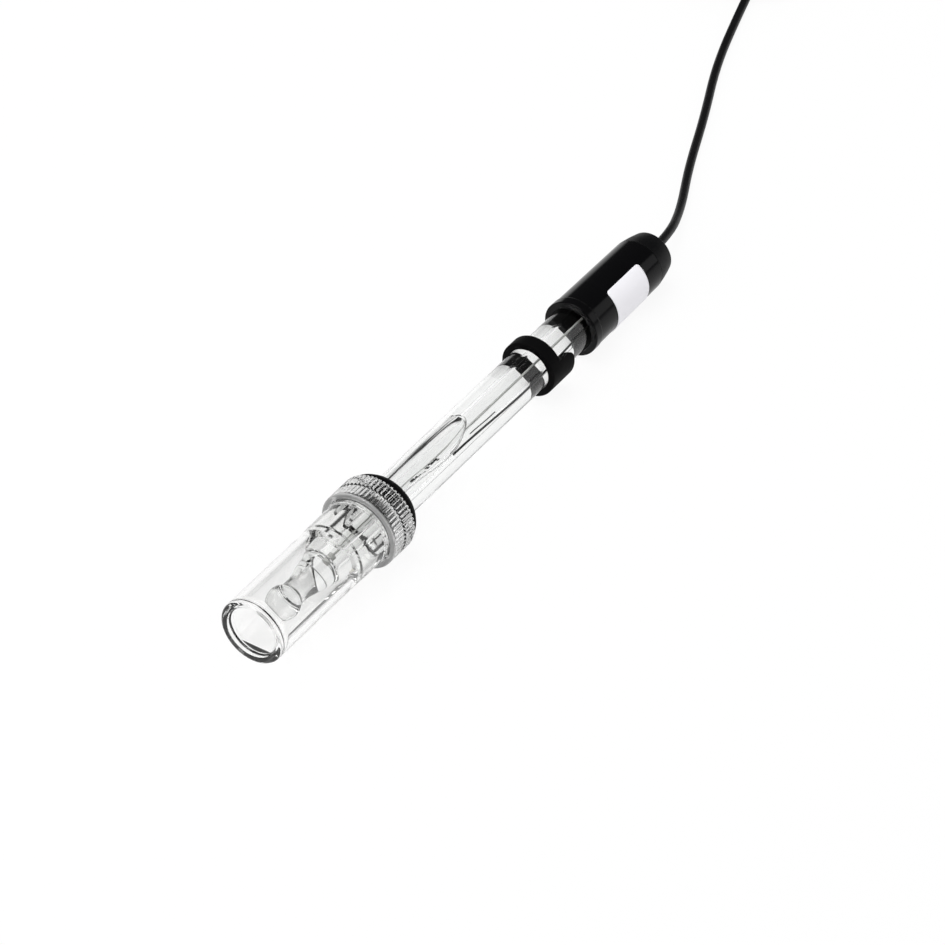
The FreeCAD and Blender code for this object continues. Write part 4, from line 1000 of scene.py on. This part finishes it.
class PlugOperator(bpy.types.Operator):
    """The plug's crimped sleeve, body, turning nut, insulator and pin"""
    bl_idname = "electrode.plug"
    bl_label = "Plug"

    def execute(self, context):
        def made(name, profile, look, node, columns=96, change=None, body="electrode", ring=True):
            grid = turned(profile, columns, change, plug_bench)
            return piece(name, skin(grid, ring), finishes[look], body, look, node)

        def closed(corners, step):
            profile = eased(corners)
            return refined(np.vstack([profile, profile[:1]]), step, lambda s, r: True)[:-1]

        def crimp(station, radius, angle):
            flat = 2.68 / np.cos(angle % (TURN / 6) - TURN / 12)
            share = smooth((station - 1.5) / 0.4) * smooth((6.6 - station) / 0.4) * (radius > 2.4)
            return station, radius - share * np.clip(radius - flat, 0, None)
        made("crimp_sleeve", closed([(0, 1.7, 0.2), (0, 3.1, 0.2), (8.5, 3.1, 0.15), (8.5, 1.25, 0.08),
                                     (0.5, 1.25, 0.2)], 0.25), "plug_metal", "plug_ferrule", 144, crimp)
        made("plug_barrel", closed([
            (8.55, 1.0, 0.08), (8.55, 4.8, 0.35), (11.05, 4.8, 0.15), (11.05, 4.1, 0.12), (13.05, 4.1, 0.12),
            (13.05, 4.8, 0.12), (14.55, 4.8, 0.12), (14.55, 4.05, 0.1), (27.55, 4.05, 0.25),
            (27.55, 3.45, 0.1), (14.55, 3.45, 0.1), (14.55, 1.0, 0.08)], 2.0), "plug_metal", "plug_body")

        def worked(station, radius, angle):
            """Flutes round the rear and two tracks in the bore."""
            outside = radius > 6.0
            flutes = sizes().flute_count
            phase = np.abs((angle * flutes / TURN) % 1 - 0.5) * TURN / flutes * 7.25 * 2
            flute = smooth((0.95 - phase) / 0.6) * smooth((15.75 - station) / 0.5) * outside
            track = np.abs((angle - math.radians(90)) % math.pi - math.pi / 2) * 5.15
            sunk = smooth((1.2 - track) / 0.3) * smooth((station - 19.3) / 0.3) * ~outside
            bore_only = sunk * (np.abs(radius - 5.15) < 0.35)
            return station, radius - 0.45 * flute + 1.0 * bore_only
        nut = closed([(11.35, 4.4, 0.1), (11.35, 7.25, 0.4), (25.35, 7.25, 0.4), (25.35, 5.15, 0.15),
                      (12.75, 5.15, 0.12), (12.75, 4.4, 0.1)], 0.35)
        turning = made("turning_nut", nut, "plug_metal", "bayonet_nut", 720, worked, "nut")
        for angle in (math.radians(55), math.radians(235)):
            drilled(turning, plug_bench(18.95, 0.0, 0.0), np.array([1.0, 0, 0]),
                    np.array([0, math.cos(angle), math.sin(angle)]), 1.15, 4.0, 9.0)
        made("white_insulator", closed([
            (14.6, 0.73, 0.08), (14.6, 3.4, 0.15), (22.55, 3.4, 0.2), (22.55, 2.3, 0.15),
            (24.55, 2.3, 0.25), (24.55, 0.73, 0.1)], 2.0), "plug_plastic", "plug_insulator")
        pin = eased([
            (10.55, 0.02, 0), (10.55, 0.675, 0.08), (24.9, 0.675, 0.5), (25.55, 0.3, 0.15),
            (25.55, 0.02, 0)])
        made("centre_pin", pin, "pin_metal", "plug_pin", 48, ring=False)
        return {"FINISHED"}


class ElectrodePanel(bpy.types.Panel):
    """Lists the pieces and the stage"""
    bl_idname = "VIEW3D_PT_electrode"
    bl_label = "Electrode"
    bl_space_type = "VIEW_3D"
    bl_region_type = "UI"
    bl_category = "Electrode"

    def draw(self, context):
        for operator in OPERATORS:
            self.layout.operator(operator.bl_idname)
        scene = context.scene
        for group in (scene.electrode_sizes, scene.electrode_colours, scene.electrode_bench):
            for key in type(group).__annotations__:
                self.layout.prop(group, key)


class FinishOperator(bpy.types.Operator):
    """All the finishes, in the colours chosen"""
    bl_idname = "electrode.finishes"
    bl_label = "Finishes"

    def execute(self, context):
        make_finishes()
        return {"FINISHED"}


OPERATORS = (FinishOperator, StageOperator, BottleOperator, CapOperator, GlassOperator, HeadOperator,
             PlugOperator, CordOperator)
GROUPS = (ElectrodeSizes, ElectrodeColours, BenchSizes)


def register():
    for made in (*GROUPS, *OPERATORS, ElectrodePanel):
        bpy.utils.register_class(made)
    bpy.types.Scene.electrode_sizes = bpy.props.PointerProperty(type=ElectrodeSizes)
    bpy.types.Scene.electrode_colours = bpy.props.PointerProperty(type=ElectrodeColours)
    bpy.types.Scene.electrode_bench = bpy.props.PointerProperty(type=BenchSizes)


def unregister():
    del bpy.types.Scene.electrode_bench, bpy.types.Scene.electrode_colours, bpy.types.Scene.electrode_sizes
    for made in reversed((*GROUPS, *OPERATORS, ElectrodePanel)):
        bpy.utils.unregister_class(made)


def main():
    register()
    bpy.ops.electrode.finishes()
    bpy.ops.electrode.stage()
    bpy.ops.electrode.bottle()
    bpy.ops.electrode.cap()
    bpy.ops.electrode.glass()
    bpy.ops.electrode.head()
    bpy.ops.electrode.plug()
    bpy.ops.electrode.cord()


if __name__ == "__main__":
    main()
